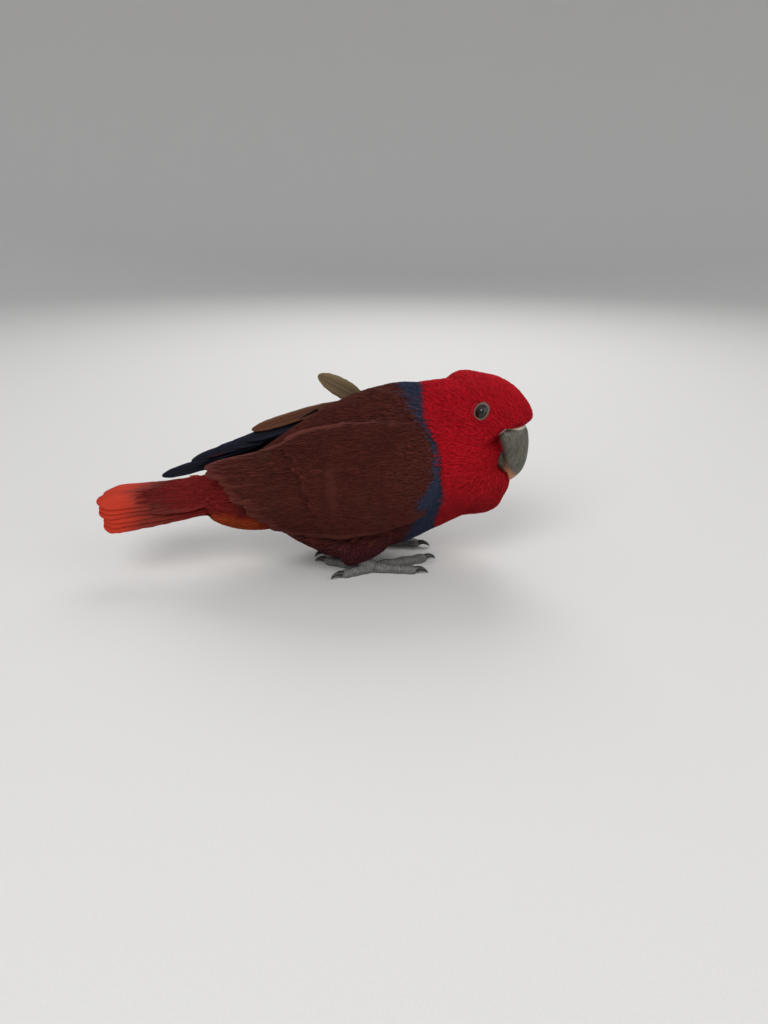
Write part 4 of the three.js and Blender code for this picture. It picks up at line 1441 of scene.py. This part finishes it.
def bare_at(spots, arm, bills):
    """Where no coat grows: at the eyes, in and under the bill, under the wing's rows, and beyond the tail."""
    bare = np.zeros(len(spots), bool)
    for side, _ in SIDES:
        centre = np.array(eye_frame(side).translation)
        bare |= np.linalg.norm(spots - centre, axis=1) < EYE_BARE
    local = carried(HEAD_FRAME.inverted(), spots)
    bare |= (local[:, 0] > 24.5) & (np.abs(local[:, 2] + 18) < 7) & (np.abs(local[:, 1]) < 12)
    near = np.flatnonzero(np.linalg.norm(spots - BILL_ROOT, axis=1) < 45)
    for bill in bills:
        tree = tree_over([bill])
        for i in near.tolist():
            place, facing, _, away = tree.find_nearest(spots[i].tolist())
            bare[i] |= away < 0.3 or (Vector(spots[i]) - place).dot(facing) < 0
    x, _, z = spots.T
    return bare | (arm & (x < -2 - 9 * rng.random(len(spots)))) | (x < COAT_END) | (z < COAT_FOOT)


def make_coat(bills):
    """Short strands over the head and bib, and overlapping vanes with loose strands elsewhere."""
    spots, ups, uvs = ground.scatter(COAT_ROOTS)
    x, around = spots[:, 0], around_of(spots)
    arm = (x < WING_FRONT + 4) & (x > -52) & (around > wing_foot(x) - 3) & (around < wing_top(x, 1) + 2)
    kept = ~bare_at(spots, arm, bills)
    spots, ups, uvs, arm = spots[kept], ups[kept], uvs[kept], arm[kept]
    x, y, z = spots.T
    flow = lie_at(spots, ups)
    turn = rng.normal(0, STRAY, (len(spots), 1))
    flow = unit(flow + np.cross(ups, flow) * turn)
    marks_and_shade = markings_and_shade(spots + flow * 4.0 + rng.normal(0, 0.5, spots.shape))
    bed = (spots, ups, uvs, flow, marks_and_shade)
    head = marks_and_shade[:, 0] > 0.3
    face = ease((np.linalg.norm(spots - BILL_ROOT, axis=1) - 6) / 38)
    leg = (z < 30) & (np.hypot(x + 2, np.abs(y) - 21) < 19)

    def lay(name, chosen, gap, length, width, lift, camber=0.0):
        """Thins the chosen places to their gaps and lays feathers there, in pieces of a set size."""
        chosen = np.flatnonzero(chosen)
        kept = chosen[spread(spots[chosen], gap[chosen])]
        kept = kept[np.argsort(spots[kept, 0])]
        parts = np.array_split(kept, math.ceil(len(kept) / (VANES_EACH if camber else STRANDS_EACH)))
        for number, part in enumerate(parts):
            size = (
                length[part] * rng.normal(1, VARIETY, len(part)),
                width[part] * rng.normal(1, VARIETY, len(part)),
                lift[part] * rng.uniform(0.7, 1.2, len(part)),
            )
            piece = coat_piece(f"{name}_{number + 1}", ground, [v[part] for v in bed], size, camber)
            dress(piece, coat_finish, "head_plumage" if head[part].mean() > 0.5 else "body_plumage")

    even = np.ones(len(spots))
    size = lerp(2.6, 6.5, face), lerp(1.4, 3.0, face), lerp(0.25, 0.5, face)
    lay("down_head", head, even * 1.8, *size, 0.05)
    size = lerp(2.2, 6.4, face), lerp(0.4, 0.62, face), lerp(0.4, 1.0, face)
    lay("strands_head", head, even * 0.7, *size)
    small = np.where(leg, 0.6, np.where(arm, 0.85 - 0.3 * ease((x - 15) / 28), 1))
    small = np.where(x > 25, small * lerp(1, 0.72, ease((x - 25) / 20)), small)
    small = small * lerp(1, 0.75, ease((-78 - x) / 15))
    lay("vanes", ~head, 2.7 * small, 13.5 * small, 6.0 * small, lerp(0.3, 0.5, small), 0.03)
    lay("strands", ~head, lerp(0.85, 1.08, small), 9.5 * small, 0.62 * even, lerp(0.5, 0.9, small))


# Loose barbs over the rows of large feathers: places tried for them, before they are thinned.
WING_BARBS, TAIL_BARBS = 46000, 9000


def make_haze(name, cover, slot, x, around, gap, run, rise, paint):
    """Loose fine barbs that soften the edges of rows of feathers, wherever all of a barb is over them."""
    roots = cover.place(x, around, 5)
    kept = spread(roots, gap)
    for ahead, aside in ((0, 0), (2 * run, 1.5), (2 * run, -1.5)):
        kept = kept[cover.at(x[kept] + ahead, around[kept] + aside)[2]]
    count = len(kept)
    places, ups, _ = cover.at(x[kept], around[kept])
    ahead = cover.place(x[kept] + run, around[kept] + rng.normal(0, 0.7, count), 5)
    _, _, uv = ground.nearest(places)
    bed = (places, ups, uv, unit(ahead - roots[kept]), paint(places, x[kept]))
    size = (rng.normal(10, 1, count), rng.normal(0.6, 0.07, count), rng.uniform(0.2, 1, count) * rise)
    dress(coat_piece(name, cover, bed, size), coat_finish, slot)


def make_wing_haze(side, name, rows):
    """Barbs over one wing, in the maroon and plum of the coat near them."""

    def locate(points):
        return points[:, 0], around_of(points)

    def paint(points, x):
        return markings_and_shade(points) * (0, 0, 0, 1)

    cover = Cover(partial(flank, side), locate, 14, rows)
    x, around = rng.uniform(-90, 30, WING_BARBS), rng.uniform(-25, 47, WING_BARBS)
    inside = around < lerp(47, 22, ease((-45 - x) / 55))
    x, around = x[inside], around[inside]
    gap = lerp(1.0, 1.6, ease((10 - x) / 95))
    make_haze("wing_haze_" + name, cover, "wing_feathers", x, around, gap, -6, 0.7, paint)


def make_tail_haze(up, name, rows):
    """Barbs over the tail's coverts on one side of it: ember above and orange below."""

    def locate(points):
        local = carried(TAIL_FRAME.inverted(), points)
        return -local[:, 0], local[:, 1]

    def paint(points, x):
        share = ease(x / 42)
        ember = lerp(1, 0.9, share) if up > 0 else lerp(1.3, 1.9, share)
        return np.stack([0 * ember, 0 * ember, ember, 0 * ember], -1)

    cover = Cover(lambda x, around, lift: on_tail(x, around, up * lift), locate, 20, rows)
    x, around = rng.uniform(-8, 40, TAIL_BARBS), rng.uniform(-19, 17, TAIL_BARBS)
    gap = lerp(0.9, 1.5, ease(x / 44))
    make_haze("tail_haze_" + name, cover, "tail_feathers", x, around, gap, 6, 0.35, paint)


make_camera()
make_lights()
make_floor()
coat_finish = feathered("plumage", paint_coat)
vanes_wing = feathered("wing_vanes", paint_wing, fineness=420.0)
# near-black flights: own dark blue partly deepened by painted shade
vanes_dark = feathered("primary_dark", plain_paint(GAP_SHADED_INK, GAP_SHADED_INK_EDGE), 0.6, 500.0)
vanes_pale = feathered("loose_pale", plain_paint(PALE, PALE_EDGE), fineness=300.0)
vanes_tan = feathered("loose_tan", plain_paint(TAN, TAN_EDGE), fineness=400.0)
vanes_tail = feathered("tail_vanes", paint_tail, fineness=420.0)
vanes_rump = feathered("rump_vanes", paint_rump, fineness=320.0)
vanes_vent = feathered("vent_vanes", paint_vent, fineness=260.0)
eye_gloss = eye_finish()
lid_skin = lid_finish()
toe_skin = toe_finish()
claw_horn = claw_finish()

skin = make_skin()
dress(skin, coat_finish, "body_plumage", "torso", "neck", "head", "thigh_left", "thigh_right")
ground = Ground(skin)
make_coat((make_upper_bill(), make_lower_bill()))
for side, name in SIDES:
    make_wing_haze(side, name, make_wing(side, name))
    make_eyeball(name, eye_frame(side))
    make_lids(name, eye_frame(side))
    make_foot(side, name)
make_loose({"pale": vanes_pale, "tan": vanes_tan, "dark": vanes_dark})
make_tail()
